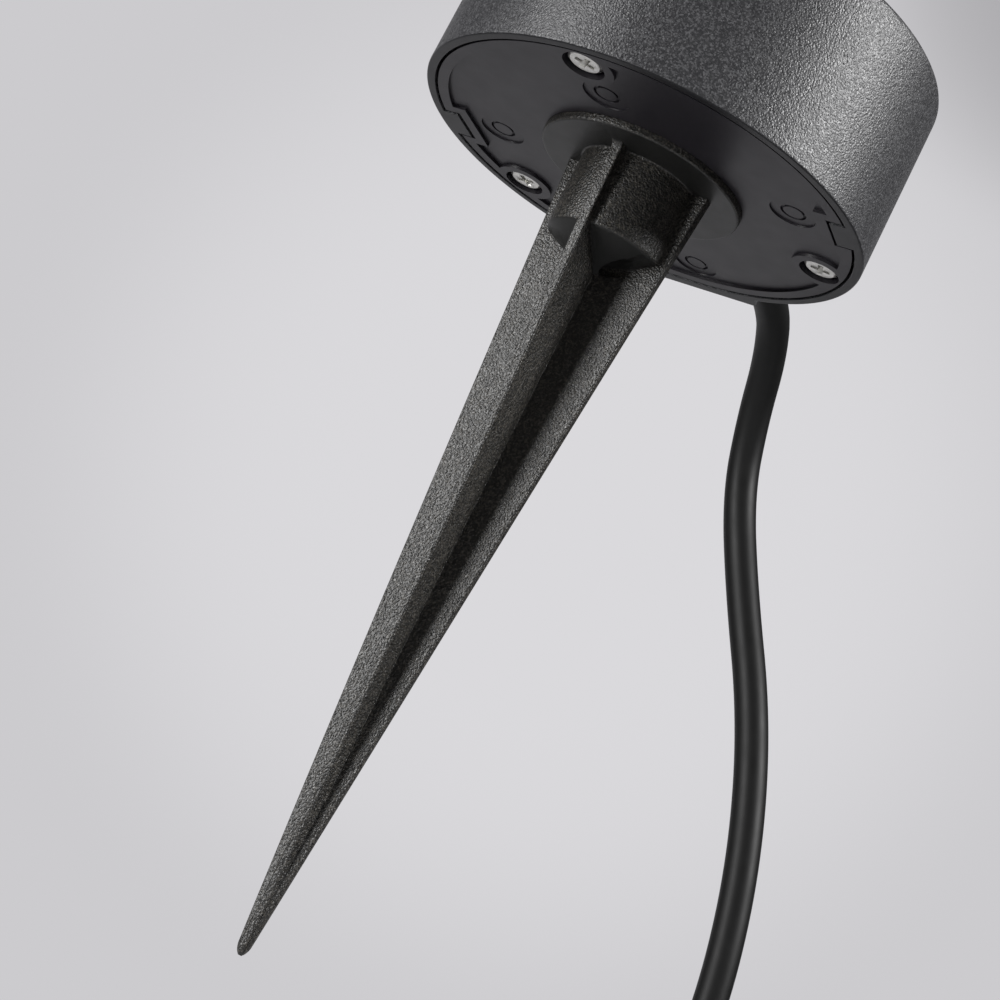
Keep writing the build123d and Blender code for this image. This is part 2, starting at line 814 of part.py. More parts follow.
def swivel_fork():
    foot = Cylinder(foot_diameter / 2, foot_height, align=UP)
    foot = fillet(foot.edges().group_by(Axis.Z)[-1], foot_edge_radius)
    block = Pos(0, 0, foot_height) * Box(2 * ear_outer, 2 * ear_radius, fork_block_height, align=UP)
    ear = extrude(Plane.YZ * ear_outline(), ear_thickness)
    ears = [Pos(start, 0, pivot_rise) * ear for start in (ear_gap / 2, -ear_outer)]
    outer_edges = [e.edges().filter_by(GeomType.CIRCLE) for e in ears]
    ears = [fillet(edges, ear_edge_radius) for edges in outer_edges]
    spigot_length_below = foot_z - swivel_boss_z + spring_washer_thickness + swivel_nut_height
    spigot_length_below += swivel_thread_spare
    spigot = Cylinder(swivel_spigot_diameter / 2, spigot_length_below, align=DOWN)
    body = fused([foot, block, spigot] + ears)
    duct_length = spigot_length_below + foot_height + fork_block_height
    duct = Pos(0, 0, -spigot_length_below) * Cylinder(wire_duct_diameter / 2, duct_length, align=UP)
    pin_hole = Rot(0, 90, 0) * Cylinder(tilt_bolt_diameter / 2 + tilt_bolt_clearance, 4 * ear_outer)
    return Pos(0, 0, foot_z) * (body - duct - Pos(0, 0, pivot_rise) * pin_hole)


def tilt_bolt():
    # Socket head on the +X ear, shank through both ears and the tongue
    reach = 2 * ear_outer + tilt_nut_height + tilt_bolt_spare
    shank = Cylinder(tilt_bolt_diameter / 2, reach, align=DOWN)
    head = Cylinder(tilt_head_diameter / 2, tilt_head_height, align=UP)
    head -= Pos(0, 0, tilt_head_height - tilt_key_depth) * hexagon(tilt_key_across, tilt_key_depth)
    return Pos(ear_outer, 0, pivot_z) * Rot(0, 90, 0) * (head + shank)


def tilt_nut():
    nut = hexagon(tilt_nut_across, tilt_nut_height)
    nut -= Cylinder(tilt_bolt_diameter / 2 + tilt_bolt_clearance, tilt_nut_height, align=UP)
    return Pos(-ear_outer, 0, pivot_z) * Rot(0, -90, 0) * nut


def tilt_washers():
    bore = tilt_bolt_diameter + 2 * tilt_bolt_clearance
    one = ring(tilt_washer_diameter, bore, tilt_washer_thickness)
    turned = Rot(0, 90, 0) * one
    starts = (tongue_thickness / 2 + tilt_play, -ear_gap / 2)
    return [Pos(start, 0, pivot_z) * turned for start in starts]


# Lamp head: each piece is made with the beam along +Z from the rear face, then put in place


def in_head(shape):
    axis = Pos(0, head_rear_overhang, head_axis) * Rot(90, 0, 0)
    return Pos(0, 0, pivot_z) * Rot(-rest_tilt, 0, 0) * axis * shape


def head_tongue():
    outline = Circle(tongue_radius)
    outline += Rectangle(tongue_drop + tongue_sink, 2 * tongue_radius, align=(Align.MIN, Align.CENTER))
    tongue = extrude(Plane.YZ * outline, tongue_thickness / 2, both=True)
    return Pos(0, -head_axis, head_rear_overhang) * tongue


def head_body():
    barrel = Cylinder(head_radius, head_body_length, align=UP)
    barrel = fillet(barrel.edges().group_by(Axis.Z)[0], head_rear_edge_radius)
    barrel -= Pos(0, 0, ring_seat) * ring(2 * head_diameter, 2 * spigot_radius, spigot_length)
    barrel -= Pos(0, 0, head_floor) * Cylinder(head_bore, head_body_length, align=UP)
    groove = ring(2 * head_diameter, head_diameter - 2 * fin_groove_depth, fin_groove_width)
    barrel -= [Pos(0, 0, fin_groove_first + i * fin_groove_pitch) * groove for i in range(fin_groove_count)]
    body = barrel + head_tongue()
    pin_hole = Rot(0, 90, 0) * Cylinder(tilt_bolt_diameter / 2 + tilt_bolt_clearance, 2 * tongue_thickness)
    body -= Pos(0, -head_axis, head_rear_overhang) * pin_hole
    screw_hole = Cylinder(board_screw_diameter / 2 + thread_clearance, board_screw_length, align=DOWN)
    body -= [Pos(x, y, chip_base) * screw_hole for x, y in board_screw_places()]
    return in_head(body)


def board_screw_places():
    half = board_size / 2 - board_screw_inset
    return [(half, half), (-half, -half)]


def front_ring():
    front = lip_z + ring_lip
    outline = [
        (ring_bore, ring_seat),
        (head_radius, ring_seat),
        (head_radius, front - ring_edge_radius),
        (head_radius - ring_edge_radius, front),
        (head_radius - ring_face, front),
        (glass_radius - glass_edge_cover, lip_z),
        (ring_bore, lip_z),
    ]
    return in_head(revolve(Plane.XZ * make_face(Polyline(*outline, close=True)), Axis.Z))


def lens_gasket():
    seal = ring(2 * glass_radius, 2 * (glass_radius - lens_gasket_width), lens_gasket_thickness)
    return in_head(Pos(0, 0, head_body_length) * seal)


def front_glass():
    disc = Cylinder(glass_radius, glass_thickness, align=UP)
    return in_head(Pos(0, 0, lens_gasket_top) * disc)


def reflector():
    front = head_body_length - reflector_front_gap
    belly_z = chip_base + (front - chip_base) * reflector_belly_share
    throat = chip_diameter / 2 + reflector_throat_gap
    mouth = head_bore - reflector_side_gap - reflector_wall
    belly = throat + (mouth - throat) * reflector_belly_reach
    inner = ThreePointArc((throat, chip_base), (belly, belly_z), (mouth, front))
    outer = ThreePointArc(
        (mouth + reflector_wall, front),
        (belly + reflector_wall, belly_z - reflector_wall / 2),
        (throat + reflector_wall, chip_base),
    )
    wall = make_face([inner, Line(inner @ 1, outer @ 0), outer, Line(outer @ 1, inner @ 0)])
    return in_head(revolve(Plane.XZ * wall, Axis.Z))


def led_board():
    board = extrude(RectangleRounded(board_size, board_size, board_corner_radius), board_thickness)
    hole = Cylinder(board_screw_diameter / 2 + thread_clearance, board_thickness, align=UP)
    board -= [Pos(x, y, 0) * hole for x, y in board_screw_places()]
    return in_head(Pos(0, 0, head_floor) * board)


def led_chip():
    return in_head(Pos(0, 0, chip_base) * Cylinder(chip_diameter / 2, chip_thickness, align=UP))


def board_screws():
    head = Cylinder(board_screw_head / 2, board_screw_head_height, align=UP)
    head = fillet(head.edges().group_by(Axis.Z)[-1], 0.4 * board_screw_head_height)
    shank = Cylinder(board_screw_diameter / 2, board_screw_length, align=DOWN)
    return [in_head(Pos(x, y, chip_base) * (head + shank)) for x, y in board_screw_places()]


nodes = {
    "base_housing": base_housing(),
    "bottom_cover": bottom_cover(),
    "cover_gasket": cover_gasket(),
    "cover_screws": cover_screws(),
    "ground_spike": ground_spike(),
    "spike_bolt": spike_bolt(),
    "spike_washer": spike_washer(),
    "terminal_block": terminal_block(),
    "terminal_screws": terminal_screws(),
    "driver_box": driver_box(),
    "cord_grip_bar": grip_bar(),
    "cord_grip_screws": grip_screws(),
    "earth_tag": earth_tag(),
    "earth_screw": earth_screw(),
    "strain_relief": strain_relief(),
    "inner_cable": inner_cable(),
    "neutral_lead": lead("neutral_lead", 0),
    "live_lead": lead("live_lead", 1),
    "earth_lead": earth_lead(),
    "power_cable": power_cable(),
    "cable_coil": cable_coil(),
    "coil_tie": coil_tie(),
    "plug_body": plug_body(),
    "plug_pins": plug_pins(),
    "plug_earth_clips": plug_earth_clips(),
    "swivel_washer": swivel_washer(),
    "spring_washer": spring_washer(),
    "swivel_nut": swivel_nut(),
    "swivel_fork": swivel_fork(),
    "tilt_bolt": tilt_bolt(),
    "tilt_nut": tilt_nut(),
    "tilt_washers": tilt_washers(),
    "head_body": head_body(),
    "front_ring": front_ring(),
    "lens_gasket": lens_gasket(),
    "front_glass": front_glass(),
    "reflector": reflector(),
    "led_board": led_board(),
    "led_chip": led_chip(),
    "board_screws": board_screws(),
}

os.makedirs("parts", exist_ok=True)
for node, shape in nodes.items():
    solid = Compound(children=list(shape)) if isinstance(shape, list) else shape
    export_step(solid, f"parts/{node}.step")
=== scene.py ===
import math
from types import SimpleNamespace

import bmesh
import bpy
from mathutils import Matrix, Vector


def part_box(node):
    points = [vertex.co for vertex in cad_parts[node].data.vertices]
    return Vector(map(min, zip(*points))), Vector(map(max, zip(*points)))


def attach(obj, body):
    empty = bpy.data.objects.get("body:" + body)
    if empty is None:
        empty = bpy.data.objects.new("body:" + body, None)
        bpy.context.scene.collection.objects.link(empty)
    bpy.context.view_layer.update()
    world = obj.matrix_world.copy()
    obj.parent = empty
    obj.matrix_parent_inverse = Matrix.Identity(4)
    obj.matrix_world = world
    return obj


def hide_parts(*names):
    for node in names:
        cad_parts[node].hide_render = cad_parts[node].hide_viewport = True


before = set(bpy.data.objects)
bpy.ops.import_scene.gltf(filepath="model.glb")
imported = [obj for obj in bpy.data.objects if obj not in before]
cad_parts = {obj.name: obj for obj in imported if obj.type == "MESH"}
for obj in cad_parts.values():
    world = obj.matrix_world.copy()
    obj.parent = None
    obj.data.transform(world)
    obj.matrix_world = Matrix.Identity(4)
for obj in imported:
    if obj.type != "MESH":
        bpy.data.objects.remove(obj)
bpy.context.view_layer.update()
mm = 0.001
print("frame loaded:", len(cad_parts), "nodes")


def linear(hexText):
    channels = [int(hexText[i:i + 2], 16) / 255 for i in (1, 3, 5)]
    return [c / 12.92 if c <= 0.04045 else ((c + 0.055) / 1.055) ** 2.4 for c in channels] + [1.0]


def addObject(name, data):
    added = bpy.data.objects.new(name, data)
    bpy.context.scene.collection.objects.link(added)
    return added


def named(spec):
    # A piece's dictionary, with its values read as spec.name
    return SimpleNamespace(**spec)


def feed(tree, node, inputs):
    # An input takes a plain value, a socket, or a node, which stands for its first live output
    for key, value in inputs.items():
        if isinstance(value, bpy.types.Node):
            value = next(socket for socket in value.outputs if socket.enabled)
        if isinstance(value, bpy.types.NodeSocket):
            tree.links.new(value, node.inputs[key])
        else:
            node.inputs[key].default_value = value


def addNode(tree, kind, settings=None, inputs=None):
    node = tree.nodes.new(kind)
    for name, value in (settings or {}).items():
        setattr(node, name, value)
    feed(tree, node, inputs or {})
    return node


# Camera, at the photograph's place below and in front of the light
camera = {
    "location": (0.179599, -0.346679, -0.152023),
    "right": (0.837110, 0.319212, 0.444242),
    "down": (0.323386, 0.366225, -0.872526),
    "forward": (-0.441213, 0.874061, 0.203342),
    "lens": 75.12,
    "sensor": 36.0,
}


def makeCamera(spec):
    data = bpy.data.cameras.new("camera")
    data.lens = spec.lens
    data.sensor_width = spec.sensor
    data.clip_start = 0.01
    data.clip_end = 50.0
    axes = [Vector(spec.right), -Vector(spec.down), -Vector(spec.forward)]
    turn = Matrix(axes).transposed().to_4x4()
    seen = addObject("camera", data)
    seen.matrix_world = Matrix.Translation(spec.location) @ turn
    bpy.context.scene.camera = seen


makeCamera(named(camera))
bpy.context.scene.view_settings.view_transform = "Standard"

# Studio, in metres: a pale backdrop that falls off softly, four soft boxes and a pale floor.
# The backdrop's zones run from a cosine, at which they have faded, to the direction they face.
studio = {
    "glowTowards": (-0.420, 0.881, 0.217),
    "glow": "#dad9dc",
    "edge": "#cccbce",
    "glowFrom": 0.959,
    "cornerTowards": (-0.236, 0.808, 0.539),
    "corner": "#abaaad",
    "cornerFrom": 0.9866,
    "mirrorTowards": (-0.50, 0.83, -0.15),
    "mirrorFrom": 0.62,
    "mirrorFull": 0.92,
    "fill": 0.09,
    "floorLevel": -0.2955,
    "floorRadius": 0.66,
    "floorWhole": 0.165,  # radius at which the paper starts to fade
    "floorColour": "#c9c9cb",
    # Lamps: name, direction, distance, size and power
    "lamps": [
        ("keyBox", (-0.58, -0.81, 0.08), 1.1, (0.34, 1.1), 18.2),
        ("sideBox", (0.86, 0.10, 0.50), 1.1, (0.42, 0.45), 17.5),
        ("frontBox", (0.55, -0.80, -0.22), 1.2, (0.9, 0.7), 1.6),
        ("topBox", (-0.1, 0.1, 1.0), 1.4, (1.0, 1.0), 7.0),
    ],
}


def directionShare(tree, ray, towards, low, high):
    dot = addNode(tree, "ShaderNodeVectorMath", {"operation": "DOT_PRODUCT"},
                  {0: ray, 1: Vector(towards).normalized()})
    return addNode(tree, "ShaderNodeMapRange", {"interpolation_type": "SMOOTHERSTEP"},
                   {"Value": dot.outputs["Value"], "From Min": low, "From Max": high})


def makeWorld(spec):
    world = bpy.data.worlds.new("studio")
    world.use_nodes = True
    tree = world.node_tree
    tree.nodes.clear()
    ray = addNode(tree, "ShaderNodeTexCoord").outputs["Generated"]
    glow = directionShare(tree, ray, spec.glowTowards, spec.glowFrom, 1.0)
    corner = directionShare(tree, ray, spec.cornerTowards, spec.cornerFrom, 1.0)
    pale = addNode(tree, "ShaderNodeMix", {"data_type": "RGBA"},
                   {0: glow, 6: linear(spec.edge), 7: linear(spec.glow)})
    shaded = addNode(tree, "ShaderNodeMix", {"data_type": "RGBA"},
                     {0: corner, 6: pale, 7: linear(spec.corner)})
    # Shiny surfaces see the backdrop where it stands and the dim room beside it
    path = addNode(tree, "ShaderNodeLightPath").outputs
    mirror = directionShare(tree, ray, spec.mirrorTowards, spec.mirrorFrom, spec.mirrorFull)
    mirrored = addNode(tree, "ShaderNodeMath", {"operation": "MULTIPLY"},
                       {0: path["Is Glossy Ray"], 1: mirror})
    direct = addNode(tree, "ShaderNodeMath", {"operation": "MAXIMUM"},
                     {0: path["Is Camera Ray"], 1: path["Is Transmission Ray"]})
    seen = addNode(tree, "ShaderNodeMath", {"operation": "MAXIMUM"}, {0: direct, 1: mirrored})
    strength = addNode(tree, "ShaderNodeMapRange", None,
                       {"Value": seen, "To Min": spec.fill, "To Max": 1.0})
    back = addNode(tree, "ShaderNodeBackground", None, {"Color": shaded, "Strength": strength})
    addNode(tree, "ShaderNodeOutputWorld", None, {"Surface": back})
    bpy.context.scene.world = world


def makeLamps(spec):
    for name, towards, distance, size, power in spec.lamps:
        data = bpy.data.lights.new(name, "AREA")
        data.shape = "RECTANGLE"
        data.size, data.size_y = size
        data.energy = power
        towards = Vector(towards).normalized()
        turn = towards.to_track_quat("Z", "Y").to_matrix().to_4x4()
        addObject(name, data).matrix_world = Matrix.Translation(towards * distance) @ turn


def makeFloor(spec):
    bm = bmesh.new()
    bmesh.ops.create_circle(bm, cap_ends=True, segments=96, radius=spec.floorRadius)
    mesh = bpy.data.meshes.new("floor")
    bm.to_mesh(mesh)
    bm.free()
    floor = addObject("floor", mesh)
    floor.location.z = spec.floorLevel
    material = bpy.data.materials.new("paperFloor")
    material.use_nodes = True
    tree = material.node_tree
    tree.nodes.clear()
    place = addNode(tree, "ShaderNodeTexCoord").outputs["Object"]
    reach = addNode(tree, "ShaderNodeVectorMath", {"operation": "LENGTH"}, {0: place})
    fade = addNode(tree, "ShaderNodeMapRange", {"interpolation_type": "SMOOTHSTEP"},
                   {"Value": reach.outputs["Value"], "From Min": spec.floorWhole,
                    "From Max": spec.floorRadius})
    # The paper is one-sided, so that it hides nothing from beneath
    under = addNode(tree, "ShaderNodeNewGeometry").outputs["Backfacing"]
    gone = addNode(tree, "ShaderNodeMath", {"operation": "MAXIMUM"}, {0: fade, 1: under})
    paper = addNode(tree, "ShaderNodeBsdfDiffuse", None, {"Color": linear(spec.floorColour)})
    clear = addNode(tree, "ShaderNodeBsdfTransparent")
    mixed = addNode(tree, "ShaderNodeMixShader", None, {0: gone, 1: paper, 2: clear})
    addNode(tree, "ShaderNodeOutputMaterial", None, {"Surface": mixed})
    mesh.materials.append(material)


makeWorld(named(studio))
makeLamps(named(studio))
makeFloor(named(studio))
print("camera and studio ready")


# Finishes. Each starts from the real material and how its surface was made.
grainSheen = (-0.12, 0.08)  # how far the roughness strays, from grain to grain
rippleSheen = (-0.07, 0.07)  # and from ripple to ripple


def startMaterial(name, colour, roughness, metallic=0.0, ior=1.5):
    material = bpy.data.materials.new(name)
    material.use_nodes = True
    tree = material.node_tree
    shader = tree.nodes["Principled BSDF"]
    feed(tree, shader, {"Base Color": linear(colour), "Roughness": roughness, "Metallic": metallic,
                        "IOR": ior})
    place = addNode(tree, "ShaderNodeTexCoord").outputs["Object"]
    return material, tree, shader, place


def giveSurface(tree, shader, height, depth, shade, colours, sheen, roughness, gloss):
    # Relief, shade and sheen, each from its own pattern
    bump = addNode(tree, "ShaderNodeBump", None, {"Height": height, "Strength": 1.0, "Distance": depth * mm})
    tint = addNode(tree, "ShaderNodeMix", {"data_type": "RGBA"},
                   {0: shade, 6: linear(colours[0]), 7: linear(colours[1])})
    rough = addNode(tree, "ShaderNodeMapRange", None,
                    {"Value": sheen, "To Min": roughness[0], "To Max": roughness[1]})
    feed(tree, shader, {"Normal": bump, "Base Color": tint, "Roughness": rough, "Specular IOR Level": gloss})


def grainy(name, colour, speck, roughness, grain, depth, gloss=0.5):
    # Texture coat or spark-eroded moulding: small rounded bumps, each with its own shade, that glint
    # one by one. The real grit is finer; it is drawn at grain mm so that it shows in the render.
    material, tree, shader, place = startMaterial(name, colour, roughness)
    coarse, fine = 2 * grain, 0.8 * grain
    wave = addNode(tree, "ShaderNodeTexNoise", None,
                   {"Vector": place, "Scale": 1 / (coarse * mm), "Detail": 2.0, "Roughness": 0.6})
    bumps = addNode(tree, "ShaderNodeTexVoronoi", {"feature": "SMOOTH_F1"},
                    {"Vector": place, "Scale": 1 / (grain * mm), "Smoothness": 0.5})
    cells = addNode(tree, "ShaderNodeTexVoronoi", None, {"Vector": place, "Scale": 1 / (fine * mm)})
    height = addNode(tree, "ShaderNodeMath", {"operation": "SUBTRACT"},
                     {0: wave.outputs["Fac"], 1: bumps.outputs["Distance"]})
    chance = addNode(tree, "ShaderNodeSeparateColor", None, {"Color": cells.outputs["Color"]}).outputs
    lift = addNode(tree, "ShaderNodeMapRange", None, {"Value": chance[0], "From Min": 0.5, "From Max": 1.0})
    giveSurface(tree, shader, height, depth, lift, (colour, speck), chance[1],
                [roughness + stray for stray in grainSheen], gloss)
    return material


def smooth(name, colour, patch, roughness, ripple, depth, metallic=0.0, gloss=0.5):
    # Polished tool, drawn or plated surface: ripples of a few mm and an uneven sheen
    material, tree, shader, place = startMaterial(name, colour, roughness, metallic)
    wave = addNode(tree, "ShaderNodeTexNoise", None,
                   {"Vector": place, "Scale": 1 / (ripple * mm), "Detail": 4.0, "Roughness": 0.55})
    share = wave.outputs["Fac"]
    giveSurface(tree, shader, share, depth, share, (colour, patch), share,
                [roughness + stray for stray in rippleSheen], gloss)
    return material


# Order of values: name, colour, second colour, roughness, pattern size in mm, depth in mm
finishes = {
    # Textured dark coat: a grey sparkle where the light grazes it
    "powderCoat": grainy("powderCoatedAluminium", "#2a2a2c", "#525254", 0.44, 0.38, 0.085, 0.42),
    # Eroded black moulding: matt, with pale grains on the lit faces
    "spikeNylon": grainy("sparkErodedNylon", "#151412", "#3d3a35", 0.44, 0.40, 0.12),
    # Darker rim coat, polished moulding and plain moulding: quiet dark sheens
    "rimCoat": smooth("darkerRimCoat", "#19191b", "#1f1f21", 0.40, 4.0, 0.005, gloss=0.23),
    "turnedNylon": smooth("polishedNylon", "#191918", "#1e1e1d", 0.42, 4.0, 0.005, gloss=0.28),
    "coverAbs": smooth("mouldedAbs", "#1e1c20", "#232125", 0.40, 6.0, 0.002, gloss=0.25),
    # Rubber: nearly black, with one soft streak along a round piece
    "sheath": smooth("rubberSheath", "#0a0a0a", "#0f0f0f", 0.50, 5.0, 0.05, gloss=0.22),
    "rubber": smooth("mouldedRubber", "#1a1a1b", "#232324", 0.52, 3.0, 0.02),
    # Plated and bright metals: pale, mirror-like, slightly cloudy
    "steel": smooth("zincPlatedSteel", "#dad9d5", "#cac9c5", 0.34, 0.8, 0.01, 1.0),
    "brass": smooth("nickelPlatedBrass", "#cdc3a8", "#bfb394", 0.26, 1.2, 0.01, 1.0),
    "reflector": smooth("brightAnodisedAluminium", "#e2e2e4", "#d6d6d9", 0.14, 4.0, 0.01, 1.0),
    # Pieces inside and small mouldings: even colour, low sheen
    "nylonPale": smooth("paleNylon", "#cfccc2", "#bdb9ad", 0.5, 2.0, 0.02),
    "tie": smooth("tieStrapNylon", "#1b1b1c", "#262627", 0.4, 2.0, 0.02),
    "boardMask": smooth("whiteSolderMask", "#e6e6e2", "#d8d8d4", 0.38, 1.5, 0.01),
    "phosphor": smooth("phosphorGel", "#e8c23a", "#d9ad24", 0.35, 1.0, 0.02),
    "earthCore": smooth("greenYellowPvc", "#6f9a2b", "#c9c02c", 0.42, 4.0, 0.01),
    "neutralCore": smooth("bluePvc", "#2a4a86", "#31559a", 0.42, 4.0, 0.01),
    "liveCore": smooth("brownPvc", "#5e3820", "#6b4227", 0.42, 4.0, 0.01),
}


def makeGlass():
    # Toughened float glass, clear, with a faintly green edge and a haze of a few mm
    material, tree, shader, place = startMaterial("toughenedGlass", "#eef6f3", 0.03, 0.0, 1.52)
    patch = 9.0
    haze = addNode(tree, "ShaderNodeTexNoise", None,
                   {"Vector": place, "Scale": 1 / (patch * mm), "Detail": 3.0})
    rough = addNode(tree, "ShaderNodeMapRange", None,
                    {"Value": haze.outputs["Fac"], "To Min": 0.01, "To Max": 0.06})
    feed(tree, shader, {"Transmission Weight": 1.0, "Roughness": rough})
    return material


finishes["glass"] = makeGlass()

# Finish of each CAD node, and of the piece that replaces it
nodeFinish = {
    "powderCoat": ["base_housing", "swivel_fork", "head_body", "front_ring"],
    "spikeNylon": ["ground_spike"],
    "coverAbs": ["bottom_cover"],
    "steel": ["cover_screws", "spike_bolt", "spike_washer", "cord_grip_screws", "earth_screw",
              "spring_washer", "swivel_nut", "tilt_bolt", "tilt_nut", "tilt_washers", "board_screws"],
    "sheath": ["inner_cable", "power_cable", "cable_coil"],
    "rubber": ["strain_relief", "plug_body", "cover_gasket", "lens_gasket"],
    "nylonPale": ["terminal_block", "driver_box", "cord_grip_bar", "swivel_washer"],
    "tie": ["coil_tie"],
    "brass": ["terminal_screws", "earth_tag", "plug_pins", "plug_earth_clips"],
    "earthCore": ["earth_lead"],
    "neutralCore": ["neutral_lead"],
    "liveCore": ["live_lead"],
    "glass": ["front_glass"],
    "reflector": ["reflector"],
    "boardMask": ["led_board"],
    "phosphor": ["led_chip"],
}

finishOf = {name: finishes[finish] for finish, names in nodeFinish.items() for name in names}
for name, material in finishOf.items():
    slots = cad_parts[name].data.materials
    slots.clear()
    slots.append(material)
print("finishes ready:", len(finishes))


# Mesh helpers, with sizes in mm
past = 1.0  # how far a cutting tool reaches past what it cuts
roundFrom = math.radians(32)  # edges sharper than this are rounded
crease = math.radians(34)  # and what is still sharper than this stays crisp
alongX = Matrix.Rotation(math.pi / 2, 4, "Y")
alongY = Matrix.Rotation(-math.pi / 2, 4, "X")
towardsFront = Matrix.Rotation(math.pi / 2, 4, "X")
upsideDown = Matrix.Rotation(math.pi, 4, "X")
sideways = Matrix(((0, 0, 1, 0), (1, 0, 0, 0), (0, 1, 0, 0), (0, 0, 0, 1)))  # outline to YZ, height to X


def moved(x, y, z):
    return Matrix.Translation((x * mm, y * mm, z * mm))


def aboutZ(degrees):
    return Matrix.Rotation(math.radians(degrees), 4, "Z")


def addPiece(name, mesh, body, node):
    mesh.name = name
    mesh.materials.clear()
    mesh.materials.append(finishOf[node])
    piece = addObject(name, mesh)
    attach(piece, body)
    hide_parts(node)
    print("piece", name, len(mesh.polygons), "faces")
    return piece


def refinish(piece, finish, wanted):
    # The faces that wanted(centre in mm, normal) picks take a second finish
    piece.data.materials.append(finishes[finish])
    for face in piece.data.polygons:
        if wanted(face.center / mm, face.normal):
            face.material_index = 1


def finished(bm):
    bmesh.ops.recalc_face_normals(bm, faces=bm.faces)
    mesh = bpy.data.meshes.new("shape")
    bm.to_mesh(mesh)
    bm.free()
    return mesh


def roundProfile(points, steps=5):
    # Corners given as (r, z, radius) become short arcs; radius 0 stays sharp
    out = []
    count = len(points)
    for i in range(count):
        r, z, radius = points[i]
        here = Vector((r, z))
        before = Vector(points[i - 1][:2]) - here
        after = Vector(points[(i + 1) % count][:2]) - here
        if radius <= 0:
            out.append(here)
            continue
        half = before.angle(after) / 2
        reach = radius / math.tan(half)
        first = here + before.normalized() * reach
        last = here + after.normalized() * reach
        for k in range(steps + 1):
            t = k / steps
            out.append(first * (1 - t) ** 2 + here * 2 * t * (1 - t) + last * t ** 2)
    return out


def latheMesh(points, segments):
    # Closed profile turned about Z
    profile = roundProfile(points)
    bm = bmesh.new()
    rings = []
    for k in range(segments):
        a = 2 * math.pi * k / segments
        rings.append([bm.verts.new((p.x * mm * math.cos(a), p.x * mm * math.sin(a), p.y * mm))
                      for p in profile])
    count = len(profile)
    for k in range(segments):
        now, then = rings[k], rings[(k + 1) % segments]
        for i in range(count):
            j = (i + 1) % count
            if profile[i].x < 1e-6 and profile[j].x < 1e-6:
                continue
            bm.faces.new((now[i], now[j], then[j], then[i]))
    bmesh.ops.remove_doubles(bm, verts=bm.verts, dist=1e-7)
    return finished(bm)


def rod(radius, low, high, lowRound, highRound, segments):
    return latheMesh([(0, low, 0), (radius, low, lowRound), (radius, high, highRound), (0, high, 0)],
                     segments)


def prism(outline, low, high):
    # Straight prism over a 2-D outline
    bm = bmesh.new()
    lower = [bm.verts.new((x * mm, y * mm, low * mm)) for x, y in outline]
    upper = [bm.verts.new((x * mm, y * mm, high * mm)) for x, y in outline]
    bm.faces.new(list(reversed(lower)))
    bm.faces.new(upper)
    for i in range(len(outline)):
        j = (i + 1) % len(outline)
        bm.faces.new((lower[i], lower[j], upper[j], upper[i]))
    return finished(bm)


def disc(x, y, radius, low, high, segments):
    angles = [2 * math.pi * k / segments for k in range(segments)]
    return prism([(x + radius * math.cos(a), y + radius * math.sin(a)) for a in angles], low, high)


def block(x0, x1, y0, y1, low, high):
    return prism([(x0, y0), (x1, y0), (x1, y1), (x0, y1)], low, high)


def arcPoints(centre, radius, first, last, steps):
    angles = [math.radians(first + (last - first) * k / steps) for k in range(steps + 1)]
    return [(centre[0] + radius * math.cos(a), centre[1] + radius * math.sin(a)) for a in angles]


def turned(mesh, matrix):
    mesh.transform(matrix)
    return mesh


def joined(meshes):
    # Several closed meshes kept as one
    bm = bmesh.new()
    for mesh in meshes:
        bm.from_mesh(mesh)
    return finished(bm)


def baked(holder):
    # The object's mesh with its modifiers run
    graph = bpy.context.evaluated_depsgraph_get()
    return bpy.data.meshes.new_from_object(holder.evaluated_get(graph))


def add(*meshes):
    return [("UNION", mesh) for mesh in meshes]


def cut(*meshes):
    return [("DIFFERENCE", mesh) for mesh in meshes]


def combine(mesh, steps):
    # Exact booleans in order: each step is (operation, mesh)
    body = addObject("body", mesh)
    tools = []
    for operation, other in steps:
        tools.append(addObject("tool", other))
        modifier = body.modifiers.new("step", "BOOLEAN")
        modifier.operation = operation
        modifier.solver = "EXACT"
        modifier.object = tools[-1]
    result = baked(body)
    for helper in [body] + tools:
        bpy.data.objects.remove(helper)
    return result


def softEdges(mesh, width=0, evenOut=True):
    # Small rounds on every sharp edge, then smooth shading that keeps creases crisp and flats flat
    holder = addObject("holder", mesh)
    weld = holder.modifiers.new("weld", "WELD")
    weld.merge_threshold = 2e-6
    if width > 0:
        bevel = holder.modifiers.new("round", "BEVEL")
        bevel.width = width * mm
        bevel.segments = 2
        bevel.limit_method = "ANGLE"
        bevel.angle_limit = roundFrom
        bevel.use_clamp_overlap = True
        bevel.miter_outer = "MITER_ARC"
    result = baked(holder)
    result.shade_smooth()
    result.set_sharp_from_angle(angle=crease)
    if evenOut:
        holder.modifiers.clear()
        holder.data = result
        flats = holder.modifiers.new("flats", "WEIGHTED_NORMAL")
        flats.keep_sharp = True
        result = baked(holder)
    bpy.data.objects.remove(holder)
    return result


# Free cable with its coil: one smooth line through the route's points, which are in metres
cable = {
    "diameter": 8.0,
    "length": 1.445,
    "route": [
        (0.0, 0.0675, 0.018), (0.0015, 0.0865, 0.018), (0.0, 0.1035, 0.011), (-0.002, 0.1165, -0.002),
        (0.0005, 0.1235, -0.0195), (0.012, 0.124, -0.042), (0.0285, 0.124, -0.070), (0.0405, 0.124, -0.100),
        (0.0475, 0.124, -0.130), (0.049, 0.124, -0.155), (0.049, 0.124, -0.176),
    ],
    "coilRadius": 55.0,
    "coilPitch": 8.7,
    "coilTurns": 4,
    "leadIn": 8.0,
    "tail": 32.0,
    "tailBend": 0.25,  # share of the tail in which it straightens
    "pointsPerTurn": 16,
    "reversal": 0.25,  # turns on either side of the innermost point in which the coil changes layer
}


